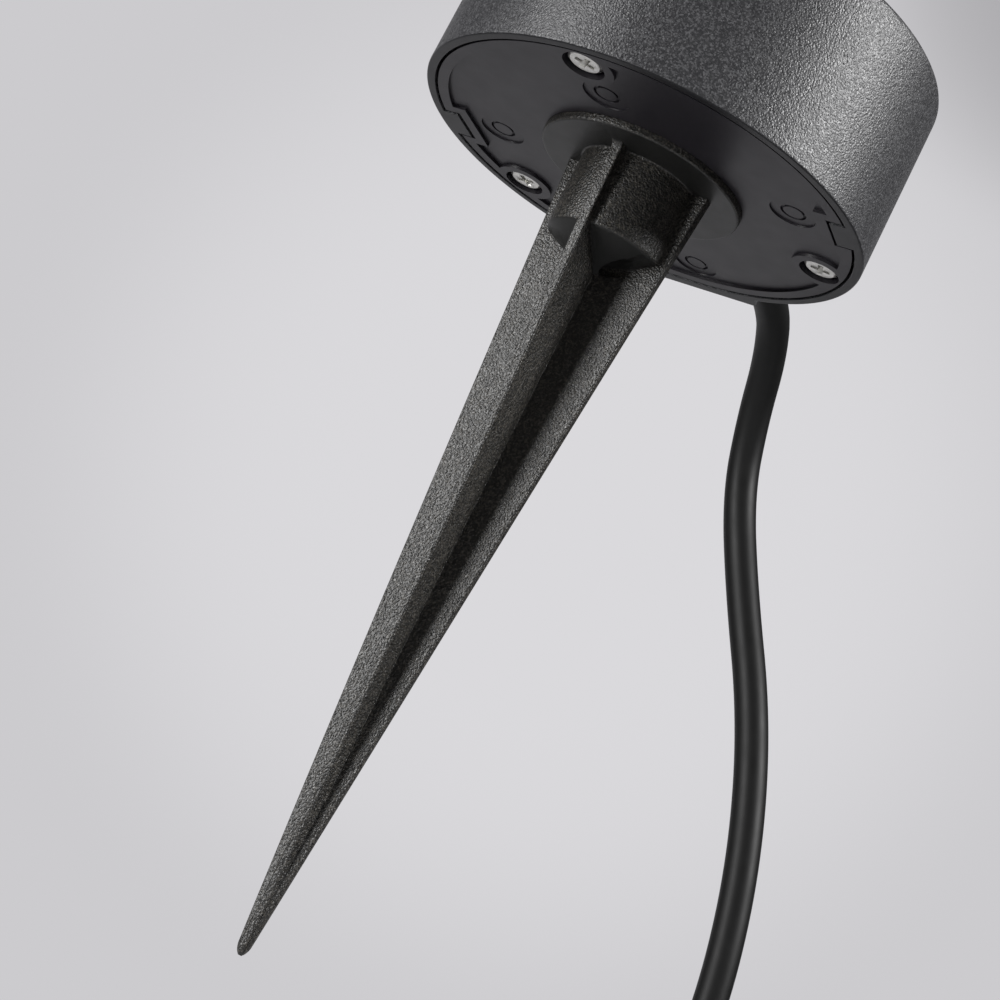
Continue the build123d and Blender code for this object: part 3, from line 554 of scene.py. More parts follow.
def coilPoint(spec, turn):
    # Spirals in, climbs to the second layer in the half turn where it reverses, and spirals out
    middle = spec.coilTurns / 2
    near = turn - middle
    shrink = middle - abs(near)
    share = 0.0 if near < 0 else 1.0
    ease = spec.reversal
    if abs(near) < ease:
        shrink = middle - ease / 2 - near ** 2 / (2 * ease)
        share = (near + ease) / (2 * ease)
    bulge = 1 / math.cos(math.pi / spec.pointsPerTurn)  # the spline runs inside its points
    radius = (spec.coilRadius - spec.coilPitch * shrink) * bulge
    start = Vector(spec.route[-1]) - Vector((0, 0, spec.leadIn * mm))
    centre = start + Vector((spec.coilRadius * mm, 0, 0))
    a = math.pi + 2 * math.pi * turn
    climb = spec.coilPitch * share ** 2 * (3 - 2 * share)
    return centre + Vector((radius * math.cos(a), climb, radius * math.sin(a))) * mm


def makeCable(spec, onIt):
    points = [Vector(p) for p in spec.route]
    steps = spec.coilTurns * spec.pointsPerTurn
    points += [coilPoint(spec, (k + 0.5) / spec.pointsPerTurn) for k in range(steps)]
    last = coilPoint(spec, spec.coilTurns)
    last.x = spec.route[-1][0]
    for share in (spec.tailBend, 1.0):
        points.append(last + Vector((0, 0, -share * spec.tail * mm)))
    line = bpy.data.curves.new("cable", "CURVE")
    line.dimensions = "3D"
    spline = line.splines.new("NURBS")
    spline.points.add(len(points) - 1)
    for knot, place in zip(spline.points, points):
        knot.co = (*place, 1.0)
    spline.order_u = 3
    spline.use_endpoint_u = True
    spline.resolution_u = 10
    line.bevel_depth = spec.diameter / 2 * mm
    line.bevel_resolution = 8
    line.use_fill_caps = True
    line.materials.append(finishOf["power_cable"])
    piece = addObject("cable", line)
    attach(piece, "base")
    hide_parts("power_cable", "cable_coil")
    print("cable ready:", len(points), "points")


# Drum: a die-cast cup turned from one profile, with its lugs, pillars and cable pad
drum = {
    "radius": 47.5, "height": 37.0, "wall": 1.9, "roof": 4.0, "rimRound": 0.45, "roofRound": 1.6,
    "ledgeLow": 5.3, "ledgeHigh": 8.3, "ledgeRadius": 42.4,
    "bossRadius": 15.0, "bossLow": 30.0, "swivelHole": 7.05,
    "lugWidth": 8.6, "lugReach": 42.0, "lugTop": 3.8, "lugInset": 0.7,
    "pillarCircle": 40.2, "pillarRadius": 4.5, "pillarWeb": 3.0, "pilot": 2.0, "pilotLength": 12.0,
    "holeRound": 0.2, "bossRound": 0.4, "ceilingRound": 0.8, "mouthRound": 0.15,
    "bite": 0.5, "webBite": 0.6, "padDepth": 3.0,  # how far joined pieces reach into each other
    "step": 0.05,  # keeps neighbouring flats from sharing a plane
    "screwAngles": (-90, 30, 150),
    "padHalf": 14.5, "padFace": 47.9, "padHeight": 31.0, "padRound": 1.0, "padCorner": 0.3,
    "cableHeight": 18.0, "cableHole": 6.1,
    "gripY": 37.6, "gripX": 9.0, "gripRadius": 3.5, "gripLow": 14.3, "ribHalf": 2.5, "ribLow": 22.0,
    "earthAt": (22.0, 14.0), "earthRadius": 4.0, "earthLow": 27.0, "earthPilot": 2.0,
    "rimFacing": -0.5, "segments": 256,
}


def makeDrum(d):
    inner = d.radius - d.wall
    ceiling = d.height - d.roof
    high = ceiling + d.bite
    small = d.holeRound
    cup = latheMesh([
        (d.radius, 0, d.rimRound), (d.radius, d.height, d.roofRound),
        (d.swivelHole, d.height, small), (d.swivelHole, d.bossLow, small),
        (d.bossRadius, d.bossLow, d.bossRound), (d.bossRadius, ceiling, 0),
        (inner, ceiling, d.ceilingRound), (inner, d.ledgeHigh, 0),
        (d.ledgeRadius, d.ledgeHigh, small), (d.ledgeRadius, d.ledgeLow, small),
        (inner, d.ledgeLow, 0), (inner, 0, d.mouthRound),
    ], d.segments)
    x, y, c, bend = d.padHalf, d.padFace, d.padRound, d.padCorner
    back = inner - d.padDepth
    pad = prism([(-x, back), (x, back), (x, y - c), (x - bend, y - bend), (x - c, y),
                 (c - x, y), (bend - x, y - bend), (-x, y - c)], 0.0, d.padHeight)
    hollow = disc(0, 0, inner + d.bite, -past, d.padHeight + past, d.segments)
    steps = add(combine(pad, cut(hollow)))
    half = d.lugWidth / 2
    for angle in (0, 180):
        lug = block(d.lugReach, d.radius - d.lugInset, -half, half, 0.0, d.lugTop)
        steps += add(turned(lug, aboutZ(angle)))
    circle, low, web = d.pillarCircle, d.ledgeLow + d.step, d.pillarWeb
    for angle in d.screwAngles:
        turn = aboutZ(angle)
        post = disc(circle, 0, d.pillarRadius, low, high, segments=40)
        brace = block(circle, inner + d.webBite, -web, web, low + d.step, high)
        hole = disc(circle, 0, d.pilot, d.ledgeLow - past, d.ledgeLow + d.pilotLength, segments=24)
        steps += add(turned(post, turn), turned(brace, turn)) + cut(turned(hole, turn))
    for x in (-d.gripX, d.gripX):
        steps += add(disc(x, d.gripY, d.gripRadius, d.gripLow, high, segments=32))
    near, far = d.gripY - d.ribHalf, d.gripY + d.ribHalf
    steps += add(block(-d.gripX, d.gripX, near, far, d.ribLow, high))
    steps += add(disc(*d.earthAt, d.earthRadius, d.earthLow, high, segments=32))
    steps += cut(disc(*d.earthAt, d.earthPilot, d.earthLow - past, ceiling, segments=24))
    entry = disc(0, 0, d.cableHole, back, d.padFace + past, segments=48)
    steps += cut(turned(entry, moved(0, 0, d.cableHeight) @ alongY))
    mesh = softEdges(combine(cup, steps))
    piece = addPiece("drum", mesh, "base", "base_housing")
    # The rim's downward faces take a darker, smoother and less glossy coat
    refinish(piece, "rimCoat", lambda centre, normal: centre.z < d.rimRound and normal.z < d.rimFacing)


makeDrum(named(drum))


# Bottom cover: a moulded disc with a raised band, screw pads, knock-out rings and notches for the lugs
cover = {
    "radius": 45.0, "low": 0.15, "high": 3.8, "fieldRadius": 42.7, "fieldLevel": 0.8,
    "seatRadius": 21.6, "seatLevel": 1.0,
    "padCircle": 40.2, "padRadius": 6.2, "padAngles": (-90, 30, 150),
    "boreRadius": 4.3, "boreLevel": 2.7, "screwHole": 2.25,
    "lugReach": 42.0, "lugHalf": 4.3, "lugGap": 0.7, "band": 2.2,
    "ringPlaces": ((33.5, -2.0), (2.0, 37.0), (-32.5, -1.5), (1.0, -29.5)),
    "dishRadius": 4.8, "dishDepth": 0.35, "grooveOuter": 2.7, "grooveInner": 2.1, "grooveDepth": 0.8,
    "boltHole": 4.3, "edge": 0.18, "segments": 224,
    "toolLow": -2.0, "toolHigh": 6.0, "toolReach": 60.0,  # ends of the cutting tools, clear of the cover
}


def makeCover(c):
    low, high, reach = c.toolLow, c.toolHigh, c.toolReach
    plate = disc(0, 0, c.radius, c.low, c.high, c.segments)
    field = disc(0, 0, c.fieldRadius, c.low - past, c.fieldLevel, c.segments)
    raised, taken = [], []
    start, wide, band = c.lugReach - c.lugGap, c.lugHalf + c.lugGap, c.band
    for angle in (0, 180):
        frameOfLug = block(start - band, reach, -wide - band, wide + band, low, high)
        raised.append(turned(frameOfLug, aboutZ(angle)))
        taken.append(turned(block(start, reach, -wide, wide, low, high), aboutZ(angle)))
    for angle in c.padAngles:
        pad = disc(c.padCircle, 0, c.padRadius, low, high, segments=64)
        bore = disc(c.padCircle, 0, c.boreRadius, low, c.boreLevel, segments=48)
        hole = disc(c.padCircle, 0, c.screwHole, 0, high, segments=32)
        raised.append(turned(pad, aboutZ(angle)))
        taken += [turned(bore, aboutZ(angle)), turned(hole, aboutZ(angle))]
    for x, y in c.ringPlaces:
        taken.append(disc(x, y, c.dishRadius, -past, c.fieldLevel + c.dishDepth, segments=56))
        groove = disc(x, y, c.grooveOuter, -past, c.fieldLevel + c.grooveDepth, segments=48)
        taken.append(combine(groove, cut(disc(x, y, c.grooveInner, low, high, segments=48))))
    taken.append(disc(0, 0, c.seatRadius, -past, c.seatLevel, segments=128))
    taken.append(disc(0, 0, c.boltHole, low, high, segments=48))
    mesh = combine(plate, cut(combine(field, cut(*raised)), *taken))
    addPiece("cover", softEdges(mesh, c.edge), "base", "bottom_cover")


makeCover(named(cover))


# Cover screws: one pan head with a cross recess, set round the cover by a node tree
coverScrew = {
    "count": 3, "circle": 40.2, "startAngle": -90.0, "seat": 2.7,
    "headRadius": 3.7, "headHeight": 1.95, "shankRadius": 1.95, "shankLength": 12.0,
    "flatShare": 0.82, "sideShare": 0.75,  # of the head's radius and height, between which it is domed
    "headRound": 0.3, "seatRound": 0.1, "pointLength": 1.2, "pointRadius": 0.4, "pointRound": 0.2,
    "wingHalf": 0.6, "wingReach": 2.2, "crossDepth": 1.5, "crossTaper": (0.72, 0.7), "crossPast": 0.5,
    "crossTurn": 38.0, "ownTurn": 67.0, "edge": 0.05,
}


def screwMesh(s):
    # Head downwards, shank upwards, seat at zero
    top, end, wide, thin = s.headHeight, s.shankLength, s.headRadius, s.shankRadius
    body = latheMesh([
        (0, -top, 0), (s.flatShare * wide, -top, s.headRound),
        (wide, -s.sideShare * top, s.headRound), (wide, 0, s.seatRound), (thin, 0, 0),
        (thin, end - s.pointLength, s.pointRound), (s.pointRadius, end, 0), (0, end, 0),
    ], segments=72)
    wing, reach = s.wingHalf, s.wingReach
    low, high = -top - s.crossPast, -top + s.crossDepth
    bar = block(-reach, reach, -wing, wing, low, high)
    for vertex in bar.vertices:
        if vertex.co.z > 0.5 * (low + high) * mm:
            vertex.co.x *= s.crossTaper[0]
            vertex.co.y *= s.crossTaper[1]
    mesh = combine(body, cut(bar, turned(bar.copy(), aboutZ(90))))
    return turned(softEdges(mesh, s.edge), aboutZ(s.crossTurn))


def ringTree():
    # Copies of one object on a circle, each turned with its place
    tree = bpy.data.node_groups.new("ringOfCopies", "GeometryNodeTree")
    face = tree.interface
    face.new_socket("Piece", in_out="INPUT", socket_type="NodeSocketObject")
    for name in ("Circle Radius", "Start Angle", "Level", "Own Turn"):
        face.new_socket(name, in_out="INPUT", socket_type="NodeSocketFloat")
    face.new_socket("Count", in_out="INPUT", socket_type="NodeSocketInt")
    face.new_socket("Finish", in_out="INPUT", socket_type="NodeSocketMaterial")
    face.new_socket("Geometry", in_out="OUTPUT", socket_type="NodeSocketGeometry")
    given = addNode(tree, "NodeGroupInput").outputs
    circle = addNode(tree, "GeometryNodeMeshCircle", None,
                     {"Vertices": given["Count"], "Radius": given["Circle Radius"]})
    piece = addNode(tree, "GeometryNodeObjectInfo", None, {"Object": given["Piece"]})
    index = addNode(tree, "GeometryNodeInputIndex")
    turn = addNode(tree, "ShaderNodeMath", {"operation": "MULTIPLY"}, {0: index, 1: given["Own Turn"]})
    spin = addNode(tree, "ShaderNodeCombineXYZ", None, {"Z": turn})
    copies = addNode(tree, "GeometryNodeInstanceOnPoints", None,
                     {"Points": circle, "Instance": piece.outputs["Geometry"], "Rotation": spin})
    lift = addNode(tree, "ShaderNodeCombineXYZ", None, {"Z": given["Level"]})
    start = addNode(tree, "ShaderNodeCombineXYZ", None, {"Z": given["Start Angle"]})
    placed = addNode(tree, "GeometryNodeTransform", None,
                     {"Geometry": copies, "Translation": lift, "Rotation": start})
    real = addNode(tree, "GeometryNodeRealizeInstances", None, {"Geometry": placed})
    painted = addNode(tree, "GeometryNodeSetMaterial", None, {"Geometry": real, "Material": given["Finish"]})
    addNode(tree, "NodeGroupOutput", None, {"Geometry": painted})
    return tree


copiesOnRing = ringTree()


def ringOf(mesh, circle, start, count, ownTurn, finish, level=0.0):
    # Copies of one mesh round the Z axis, with angles in degrees, as a plain mesh
    one = addObject("one", mesh)
    values = {
        "Piece": one, "Circle Radius": circle * mm, "Start Angle": math.radians(start), "Level": level * mm,
        "Own Turn": math.radians(ownTurn), "Count": count, "Finish": finishes[finish],
    }
    holder = addObject("holder", bpy.data.meshes.new("holder"))
    modifier = holder.modifiers.new("nodes", "NODES")
    modifier.node_group = copiesOnRing
    for item in copiesOnRing.interface.items_tree:
        if item.in_out == "INPUT":
            modifier[item.identifier] = values[item.name]
    ring = baked(holder)
    holder.modifiers.clear()
    bpy.data.objects.remove(holder)
    bpy.data.objects.remove(one)
    return ring


def makeCoverScrews(s):
    mesh = ringOf(screwMesh(s), s.circle, s.startAngle, s.count, s.ownTurn, "steel", s.seat)
    mesh.set_sharp_from_angle(angle=crease)
    addPiece("coverScrews", mesh, "base", "cover_screws")


makeCoverScrews(named(coverScrew))


# Ground spike: flange and hub turned from one profile, four tapering fins, and the tommy hole
spike = {
    "tip": -168.1, "top": 1.0, "topRound": 0.3, "flangeRadius": 21.5, "flangeLow": -0.8, "flangeRound": 0.6,
    "hubRadius": 12.4, "hubLow": -17.0, "hubRound": 1.0, "neckRound": 0.5,
    "coneRadius": 2.0, "coneLow": -22.8, "coneRound": 0.3, "conePoint": 0.3,
    "boreRadius": 4.05, "boreLow": -15.6,
    "holeRadius": 1.9, "holeLevel": -20.6, "holeTurn": 66.0, "holeReach": 30.0,
    "sideReach": 15.8, "sideTip": 1.05, "frontReach": 15.2, "frontTip": 0.3, "flare": 1.3,
    "finOverlap": 0.9, "finHalf": 1.15, "tipHalf": 0.75, "thinning": 3,
    "sideDraft": 0.12, "frontDraft": 1.0, "rootRound": 0.12, "draftShare": 0.3,
    "edgeRound": 0.32, "edgeShare": 0.4, "leastWeb": 0.05,
    "twist": 9.0, "twistPower": 1.4, "lean": (-0.5, -0.2), "bow": -0.2,  # as the moulding warps
    "bluntLength": 2.2, "bluntSteps": 8, "bluntLeast": 0.3,
    "levels": 90, "levelPower": 1.6, "segments": 160,
    "polishedFacing": -0.4, "polishedWithin": 0.1,
}


def finSection(side, front, half, corner, edge, root, edgeSteps=4, rootSteps=6):
    # Outline of the four drafted fins: one quadrant, from the side fin's edge to the front fin's,
    # mirrored round
    bend = [math.pi / 2 * k / edgeSteps for k in range(edgeSteps + 1)]
    sideEdge = [(side - edge + edge * math.cos(a), half - edge + edge * math.sin(a)) for a in bend]
    frontEdge = [(half - edge + edge * math.cos(a), front - edge + edge * math.sin(a)) for a in bend]
    toSide = (Vector(sideEdge[-1]) - corner).normalized() * root
    toFront = (Vector(frontEdge[0]) - corner).normalized() * root
    shares = [k / rootSteps for k in range(rootSteps + 1)]
    rootCurve = [corner + toSide * (1 - t) ** 2 + toFront * t ** 2 for t in shares]
    quadrant = sideEdge + [tuple(p) for p in rootCurve] + frontEdge
    back = list(reversed(quadrant))
    return (quadrant + [(-x, y) for x, y in back] + [(-x, -y) for x, y in quadrant]
            + [(x, -y) for x, y in back])


def finMesh(s):
    start = s.flangeLow + s.finOverlap
    shoulder = s.tip + s.bluntLength
    count = s.levels
    steps = [start + (shoulder - start) * (k / count) ** s.levelPower for k in range(count + 1)]
    for k in range(s.bluntSteps):
        steps.append(shoulder - s.bluntLength * math.sin(math.pi / 2 * (k + 1) / s.bluntSteps))
    bm = bmesh.new()
    rings = []
    for z in steps:
        below = max(s.flangeLow - z, 0.0)
        share = min(below / (s.flangeLow - s.tip), 1.0)
        flare = max(s.flare - below, 0.0)
        flare = s.flare - math.sqrt(max(s.flare ** 2 - flare ** 2, 0.0))
        beyond = min(max(shoulder - z, 0.0) / s.bluntLength, 1.0)
        blunt = max(math.sqrt(1 - beyond ** 2), s.bluntLeast)
        half = (s.tipHalf + (s.finHalf - s.tipHalf) * (1 - share) ** s.thinning) * blunt
        edge = min(s.edgeRound, s.edgeShare * half)
        least = half + edge + s.leastWeb
        side = max((s.sideReach + (s.sideTip - s.sideReach) * share) * blunt, least)
        front = max((s.frontReach + (s.frontTip - s.frontReach) * share + flare) * blunt, least)
        room = s.draftShare * (min(side, front) - half)
        corner = Vector((half + min(s.frontDraft * share, room), half + min(s.sideDraft, room)))
        outline = finSection(side, front, half, corner, edge, min(s.rootRound, room))
        aside = Vector((s.lean[0] * share + s.bow * 4 * share * (1 - share), s.lean[1] * share))
        turn = Matrix.Rotation(math.radians(s.twist * share ** s.twistPower), 2)
        corners = [turn @ Vector(p) + aside for p in outline]
        rings.append([bm.verts.new((p.x * mm, p.y * mm, z * mm)) for p in corners])
    for upper, lower in zip(rings, rings[1:]):
        for i in range(len(upper)):
            j = (i + 1) % len(upper)
            bm.faces.new((upper[i], upper[j], lower[j], lower[i]))
    bm.faces.new(rings[0])
    bm.faces.new(list(reversed(rings[-1])))
    return finished(bm)


def makeSpike(s):
    hub = latheMesh([
        (0, s.top, 0), (s.flangeRadius, s.top, s.topRound),
        (s.flangeRadius, s.flangeLow, s.flangeRound),
        (s.hubRadius, s.flangeLow, s.neckRound), (s.hubRadius, s.hubLow, s.hubRound),
        (s.coneRadius, s.coneLow, s.coneRound), (0, s.coneLow - s.conePoint, 0),
    ], s.segments)
    bore = disc(0, 0, s.boreRadius, s.boreLow, s.top + past, segments=64)
    hole = disc(0, 0, s.holeRadius, -s.holeReach, s.holeReach, segments=40)
    hole = turned(hole, moved(0, 0, s.holeLevel) @ aboutZ(s.holeTurn) @ towardsFront)
    mesh = softEdges(combine(hub, add(finMesh(s)) + cut(bore, hole)))
    piece = addPiece("spike", mesh, "base", "ground_spike")
    # Turned faces of the tool are polished, the fins and the sides are eroded
    refinish(piece, "turnedNylon", lambda centre, normal: normal.z < s.polishedFacing and (
        abs(centre.z - s.flangeLow) < s.polishedWithin or s.coneLow < centre.z < s.hubLow))


makeSpike(named(spike))


# Strain relief: a moulded bush with three flex grooves, buttoned into the drum's wall
relief = {
    "back": 42.3, "neckStart": 44.8, "padFace": 47.9, "flangeEnd": 50.4, "tip": 68.0, "height": 18.0,
    "flangeRadius": 8.0, "neckRadius": 6.0, "rootRadius": 6.8, "tipRadius": 5.0,
    "grooves": 3, "grooveWidth": 1.6, "grooveDepth": 1.0, "edge": 0.35,
}


def makeRelief(r):
    edge, flange, neck = r.edge, r.flangeRadius, r.neckRadius
    points = [(0, r.back, 0), (flange, r.back, edge), (flange, r.neckStart, edge),
              (neck, r.neckStart, 0), (neck, r.padFace, 0), (flange, r.padFace, edge),
              (flange, r.flangeEnd, 2 * edge), (r.rootRadius, r.flangeEnd, edge)]
    sleeve = r.tip - r.flangeEnd
    for i in range(r.grooves):
        middle = sleeve * (i + 1) / (r.grooves + 1)
        for side, depth in ((-1, 0), (-1, 1), (1, 1), (1, 0)):
            along = middle + side * r.grooveWidth / 2
            radius = r.rootRadius + (r.tipRadius - r.rootRadius) * along / sleeve
            points.append((radius - depth * r.grooveDepth, r.flangeEnd + along, edge))
    points += [(r.tipRadius, r.tip, 2 * edge), (0, r.tip, 0)]
    mesh = turned(latheMesh(points, segments=72), moved(0, 0, r.height) @ alongY)
    addPiece("strainRelief", softEdges(mesh), "base", "strain_relief")


makeRelief(named(relief))


# Plug: overmoulded two-pole plug with earth clips in its side slots; its own axis runs down the cable
plug = {
    "top": (49.0, 132.7, -216.0), "topRound": 0.5, "neckLength": 20.0, "neckStart": 5.0, "neckEnd": 7.5,
    "neckRound": 3.0, "shoulder": 10.0, "shoulderRound": 2.0,
    "bodyRadius": 18.5, "bodyLength": 26.0, "edge": 3.0, "faceRound": 1.0,
    "grooves": 4, "grooveFirst": 3.2, "groovePitch": 4.0, "grooveWidth": 1.6, "grooveDepth": 0.8,
    "grooveRound": 0.3,
    "gripCount": 24, "gripWidth": 1.7, "gripDepth": 0.5, "gripLow": 34.0, "gripHigh": 51.0,
    "gripPast": 0.6, "gripStart": 7.5,
    "slotHalf": 3.5, "slotDepth": 3.0, "pinRadius": 2.4, "pinLength": 19.0, "pinSpacing": 19.0,
    "pinRound": 1.6, "clipHalf": 2.2, "clipThickness": 1.2, "clipLength": 18.0, "clipEdge": 0.3,
}


def pairAcross(mesh, circle, start):
    # A ring of two is a line of two points, so the second copy faces the first
    half = turned(mesh, moved(circle, 0, 0))
    other = turned(half.copy(), aboutZ(180))
    return turned(joined([half, other]), aboutZ(start))


def makePlug(p):
    place = moved(*p.top) @ upsideDown
    shoulder = p.neckLength + p.shoulder
    face = shoulder + p.bodyLength
    wide, edge = p.bodyRadius, p.edge
    points = [(0, 0, 0), (p.neckStart, 0, p.topRound)]
    for i in range(p.grooves):
        low = p.grooveFirst + i * p.groovePitch
        high = low + p.grooveWidth
        for along, depth in ((low, 0), (low, 1), (high, 1), (high, 0)):
            radius = p.neckStart + (p.neckEnd - p.neckStart) * along / p.neckLength
            points.append((radius - depth * p.grooveDepth, along, p.grooveRound))
    points += [(p.neckEnd, p.neckLength, p.neckRound),
               (wide - edge, shoulder - edge, p.shoulderRound), (wide, shoulder, edge),
               (wide, face, p.faceRound), (0, face, 0)]
    half = p.gripWidth / 2
    grip = block(-p.gripDepth, p.gripDepth + p.gripPast, -half, half, p.gripLow, p.gripHigh)
    grips = ringOf(grip, wide, p.gripStart, p.gripCount, 360 / p.gripCount, "rubber")
    slot = block(-p.slotDepth, 2 * past, -p.slotHalf, p.slotHalf, shoulder, face + 2 * past)
    body = softEdges(combine(latheMesh(points, segments=144), cut(grips, pairAcross(slot, wide, start=90))))
    pin = rod(p.pinRadius, face, face + p.pinLength, 0, p.pinRound, segments=48)
    pins = softEdges(pairAcross(pin, p.pinSpacing / 2, start=0))
    clip = block(0, p.clipThickness, -p.clipHalf, p.clipHalf, face - p.clipLength, face)
    clips = softEdges(pairAcross(clip, wide - p.slotDepth, start=90), p.clipEdge)
    return [
        addPiece("plugBody", turned(body, place), "base", "plug_body"),
        addPiece("plugPins", turned(pins, place), "base", "plug_pins"),
        addPiece("plugEarthClips", turned(clips, place), "base", "plug_earth_clips"),
    ]


# Tie: a strap round the bundled turns
tie = {"wall": 1.2, "corner": 3.0, "edge": 0.25}


def roundedBox(halfX, halfY, corner, steps=8):
    x, y = halfX - corner, halfY - corner
    outline = []
    for centre, start in (((x, y), 0), ((-x, y), 90), ((-x, -y), 180), ((x, -y), 270)):
        outline += arcPoints(centre, corner, start, start + 90, steps)
    return outline


def makeTie(t):
    low, high = [Vector(corner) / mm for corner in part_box("coil_tie")]
    half = (high - low) / 2
    middle = (high + low) / 2
    band = prism(roundedBox(half.x, half.y, t.corner + t.wall), -half.z, half.z)
    wall, deep = t.wall, half.z + past
    hole = prism(roundedBox(half.x - wall, half.y - wall, t.corner), -deep, deep)
    mesh = softEdges(combine(band, cut(hole)), t.edge)
    return addPiece("coilTie", turned(mesh, moved(*middle)), "base", "coil_tie")


makeCable(named(cable), makePlug(named(plug)) + [makeTie(named(tie))])


# Swivel: a nylon washer under the fork, and the fork with its foot, hollow spigot and two ears
fork = {
    "washerRadius": 15.5, "washerLow": 37.0, "washerRound": 0.2, "boreRound": 0.1,
    "footLow": 38.0, "footHigh": 42.0, "footRadius": 16.5, "footRound": 1.0, "footEdge": 0.3,
    "blockHigh": 49.0, "halfWide": 12.05, "earInner": 7.05, "earRadius": 10.0, "pivot": 64.0, "edge": 0.7,
    "spigotRadius": 7.0, "spigotLow": 22.0, "spigotRound": 0.5, "neckRound": 0.2,
    "ductRadius": 4.0, "ductPast": 5.0, "bore": 7.05, "pinHole": 3.05, "pinReach": 30.0,
}


def washerRing(bore, radius, low, high, boreRound, edge, segments):
    return latheMesh([(bore, low, boreRound), (radius, low, edge), (radius, high, edge),
                      (bore, high, boreRound)], segments)


def makeSwivel(f):
    low, high = f.footLow, f.footHigh
    washer = washerRing(f.bore, f.washerRadius, f.washerLow, low, f.boreRound, f.washerRound, segments=128)
    addPiece("swivelWasher", softEdges(washer), "base", "swivel_washer")
    foot = latheMesh([
        (0, f.spigotLow, 0), (f.spigotRadius, f.spigotLow, f.spigotRound),
        (f.spigotRadius, low, f.neckRound), (f.footRadius, low, f.footEdge),
        (f.footRadius, high, f.footRound), (0, high, 0)], segments=160)
    wide, middle = f.earRadius, (low + high) / 2
    outline = [(-wide, middle), (wide, middle)] + arcPoints((0, f.pivot), wide, 0, 180, steps=40)
    ears = turned(prism(outline, -f.halfWide, f.halfWide), sideways)
    gap = block(-f.earInner, f.earInner, -2 * wide, 2 * wide, f.blockHigh, f.pivot + 2 * wide)
    pin = disc(0, 0, f.pinHole, -f.pinReach, f.pinReach, segments=48)
    ears = combine(ears, cut(gap, turned(pin, moved(0, 0, f.pivot) @ alongX)))
    ears = softEdges(ears, f.edge, evenOut=False)
    duct = disc(0, 0, f.ductRadius, f.spigotLow - f.ductPast, f.blockHigh + f.ductPast, segments=48)
    mesh = softEdges(combine(foot, add(ears) + cut(duct)))
    addPiece("fork", mesh, "swivel", "swivel_fork")


makeSwivel(named(fork))


# Tilt hinge: socket-head bolt, hexagon nut and two washers, all along X through the pivot
hinge = {
    "pivot": 64.0, "boltRadius": 3.0, "boltEnd": -18.25, "boltRound": 0.5, "keyAcross": 5.0, "keyDepth": 3.0,
    "headRadius": 5.0, "headLow": 12.05, "headHigh": 18.05, "headRound": 0.7, "headEdge": 0.3,
    "nutAcross": 10.0, "nutLow": -17.05, "nutHigh": -12.05, "nutEdge": 0.12,
    "chamferShare": 0.95, "chamferPast": 0.2, "chamferDepth": 0.9,
    "washerRadius": 9.0, "washerBore": 3.05, "washerLow": 6.05, "washerHigh": 7.05,
    "washerRound": 0.2, "boreRound": 0.1, "segments": 96,
}


def hexagon(across):
    corner = across / math.sqrt(3)
    return [(corner * math.cos(k * math.pi / 3), corner * math.sin(k * math.pi / 3)) for k in range(6)]


def makeHinge(h):
    place = moved(0, 0, h.pivot) @ alongX
    thin, wide, segments = h.boltRadius, h.headRadius, h.segments
    bolt = latheMesh([
        (0, h.boltEnd, 0), (thin, h.boltEnd, h.boltRound), (thin, h.headLow, 0),
        (wide, h.headLow, h.headEdge), (wide, h.headHigh, h.headRound),
        (0, h.headHigh, 0)], segments)
    key = prism(hexagon(h.keyAcross), h.headHigh - h.keyDepth, h.headHigh + 2 * past)
    bolt = softEdges(combine(bolt, cut(key)))
    addPiece("tiltBolt", turned(bolt, place), "swivel", "tilt_bolt")
    low, high, deep = h.nutLow, h.nutHigh, h.chamferDepth
    flat = h.chamferShare * h.nutAcross / 2
    corner = h.nutAcross / math.sqrt(3) + h.chamferPast
    chamfers = latheMesh([(0, low, 0), (flat, low, 0), (corner, low + deep, 0), (corner, high - deep, 0),
                          (flat, high, 0), (0, high, 0)], segments)
    hole = disc(0, 0, h.washerBore, low - 2 * past, high + 2 * past, segments=48)
    nut = prism(hexagon(h.nutAcross), low - past, high + past)
    nut = softEdges(combine(nut, [("INTERSECT", chamfers)] + cut(hole)), h.nutEdge)
    addPiece("tiltNut", turned(nut, place), "swivel", "tilt_nut")
    washers = []
    for start in (h.washerLow, -h.washerHigh):
        end = start + h.washerHigh - h.washerLow
        washers.append(washerRing(h.washerBore, h.washerRadius, start, end, h.boreRound,
                                  h.washerRound, segments))
    pair = turned(softEdges(joined(washers)), place)
    addPiece("tiltWashers", pair, "swivel", "tilt_washers")


makeHinge(named(hinge))


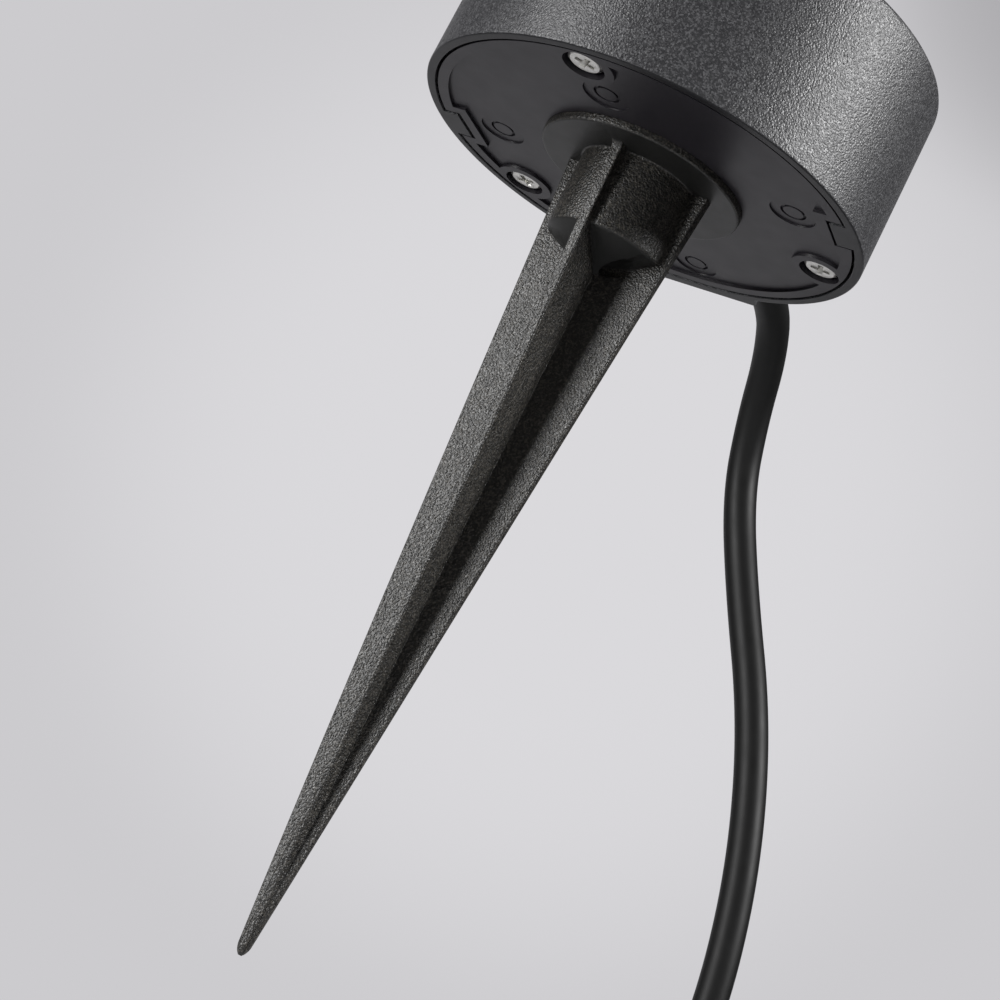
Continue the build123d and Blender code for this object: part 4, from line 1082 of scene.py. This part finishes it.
# Lamp head: finned barrel with its tongue, front ring, glass, reflector and light source, drawn on the
# barrel's own axis
head = {
    "pivot": 64.0, "restTilt": 35.0, "axisRise": 47.0, "rearOverhang": 16.0,
    "radius": 33.0, "length": 84.0, "rearRound": 3.0, "segments": 192,
    "grooves": 4, "grooveFirst": 6.0, "groovePitch": 7.0, "grooveWidth": 4.0, "grooveDepth": 11.0,
    "finEdge": 0.5, "ringSeat": 74.0, "seatRound": 0.3, "spigot": 30.6, "bore": 29.0, "mouthRound": 0.3,
    "floor": 37.0, "floorRound": 0.5, "tongueHalf": 6.0, "tongueRadius": 10.0, "tongueReach": 23.0,
    "tongueEdge": 0.7, "pinHole": 3.05, "pinReach": 20.0,
    "ringInner": 30.75, "ringFront": 96.0, "ringLip": 26.5, "ringShelf": 90.0, "ringChamfer": 1.0,
    "ringFace": 30.0, "ringRound": 0.6, "ringJoint": 0.4, "lipRound": 0.2,
    "glassRadius": 30.2, "glassLow": 85.5, "glassHigh": 89.9, "glassRound": 0.3,
    "bowlStart": (8.2, 38.6), "bowlMiddle": (20.3, 54.8), "bowlEnd": (27.4, 83.5), "bowlWall": 1.2,
    "bowlSteps": 28, "chipRadius": 7.0, "chipLow": 38.6, "chipHigh": 39.2, "chipRound": 0.25,
}


def addToHead(h, name, mesh, node):
    swing = Matrix.Rotation(math.radians(-h.restTilt), 4, "X")
    place = moved(0, 0, h.pivot) @ swing @ moved(0, h.rearOverhang, h.axisRise) @ towardsFront
    addPiece(name, turned(softEdges(mesh), place), "head", node)


def makeBarrel(h):
    r, edge, deep = h.radius, h.finEdge, h.radius - h.grooveDepth
    points = [(0, 0, 0), (r, 0, h.rearRound)]
    for i in range(h.grooves):
        low = h.grooveFirst + i * h.groovePitch
        high = low + h.grooveWidth
        points += [(r, low, edge), (deep, low, edge), (deep, high, edge), (r, high, edge)]
    points += [(r, h.ringSeat, h.seatRound), (h.spigot, h.ringSeat, 0),
               (h.spigot, h.length, h.mouthRound), (h.bore, h.length, h.mouthRound),
               (h.bore, h.floor, h.floorRound), (0, h.floor, 0)]
    barrel = latheMesh(points, h.segments)
    centre = (-h.axisRise, h.rearOverhang)
    root, wide = h.tongueReach - h.axisRise, h.tongueRadius
    outline = [(root, centre[1] - wide)] + arcPoints(centre, wide, -90, -270, steps=40)
    outline.append((root, centre[1] + wide))
    tongue = turned(prism(outline, -h.tongueHalf, h.tongueHalf), sideways)
    pin = disc(0, 0, h.pinHole, -h.pinReach, h.pinReach, segments=48)
    tongue = combine(tongue, cut(turned(pin, moved(0, *centre) @ alongX)))
    tongue = softEdges(tongue, h.tongueEdge, evenOut=False)
    addToHead(h, "headBarrel", combine(barrel, add(tongue)), "head_body")


def makeFront(h):
    r, front, soft = h.radius, h.ringFront, h.ringRound
    ring = latheMesh([
        (h.ringInner, h.ringSeat, h.lipRound), (r, h.ringSeat, h.ringJoint),
        (r, front - h.ringChamfer, soft), (r - h.ringChamfer, front, soft),
        (h.ringFace, front, soft), (h.ringLip, h.ringShelf, h.lipRound),
        (h.ringInner, h.ringShelf, 0)], h.segments)
    addToHead(h, "frontRing", ring, "front_ring")
    glass = rod(h.glassRadius, h.glassLow, h.glassHigh, h.glassRound, h.glassRound, h.segments)
    addToHead(h, "frontGlass", glass, "front_glass")


def bowlCurve(h):
    # Circle through the bowl's three points
    a, b, c = (complex(*point) for point in (h.bowlStart, h.bowlMiddle, h.bowlEnd))
    w = (c - a) / (b - a)
    centre = a + (b - a) * (w - abs(w) ** 2) / (2j * w.imag)
    radius = abs(a - centre)
    first = math.degrees(math.atan2((a - centre).imag, (a - centre).real))
    last = math.degrees(math.atan2((c - centre).imag, (c - centre).real))
    inner = arcPoints((centre.real, centre.imag), radius, first, last, h.bowlSteps)
    outer = arcPoints((centre.real, centre.imag), radius + h.bowlWall, first, last, h.bowlSteps)
    return inner, [(r, max(z, a.imag)) for r, z in outer]


def makeLightSource(h):
    inner, outer = bowlCurve(h)
    bowl = latheMesh([(r, z, 0) for r, z in inner + list(reversed(outer))], h.segments)
    addToHead(h, "reflectorBowl", bowl, "reflector")
    chip = rod(h.chipRadius, h.chipLow, h.chipHigh, 0, h.chipRound, segments=96)
    addToHead(h, "ledChip", chip, "led_chip")


makeBarrel(named(head))
makeFront(named(head))
makeLightSource(named(head))
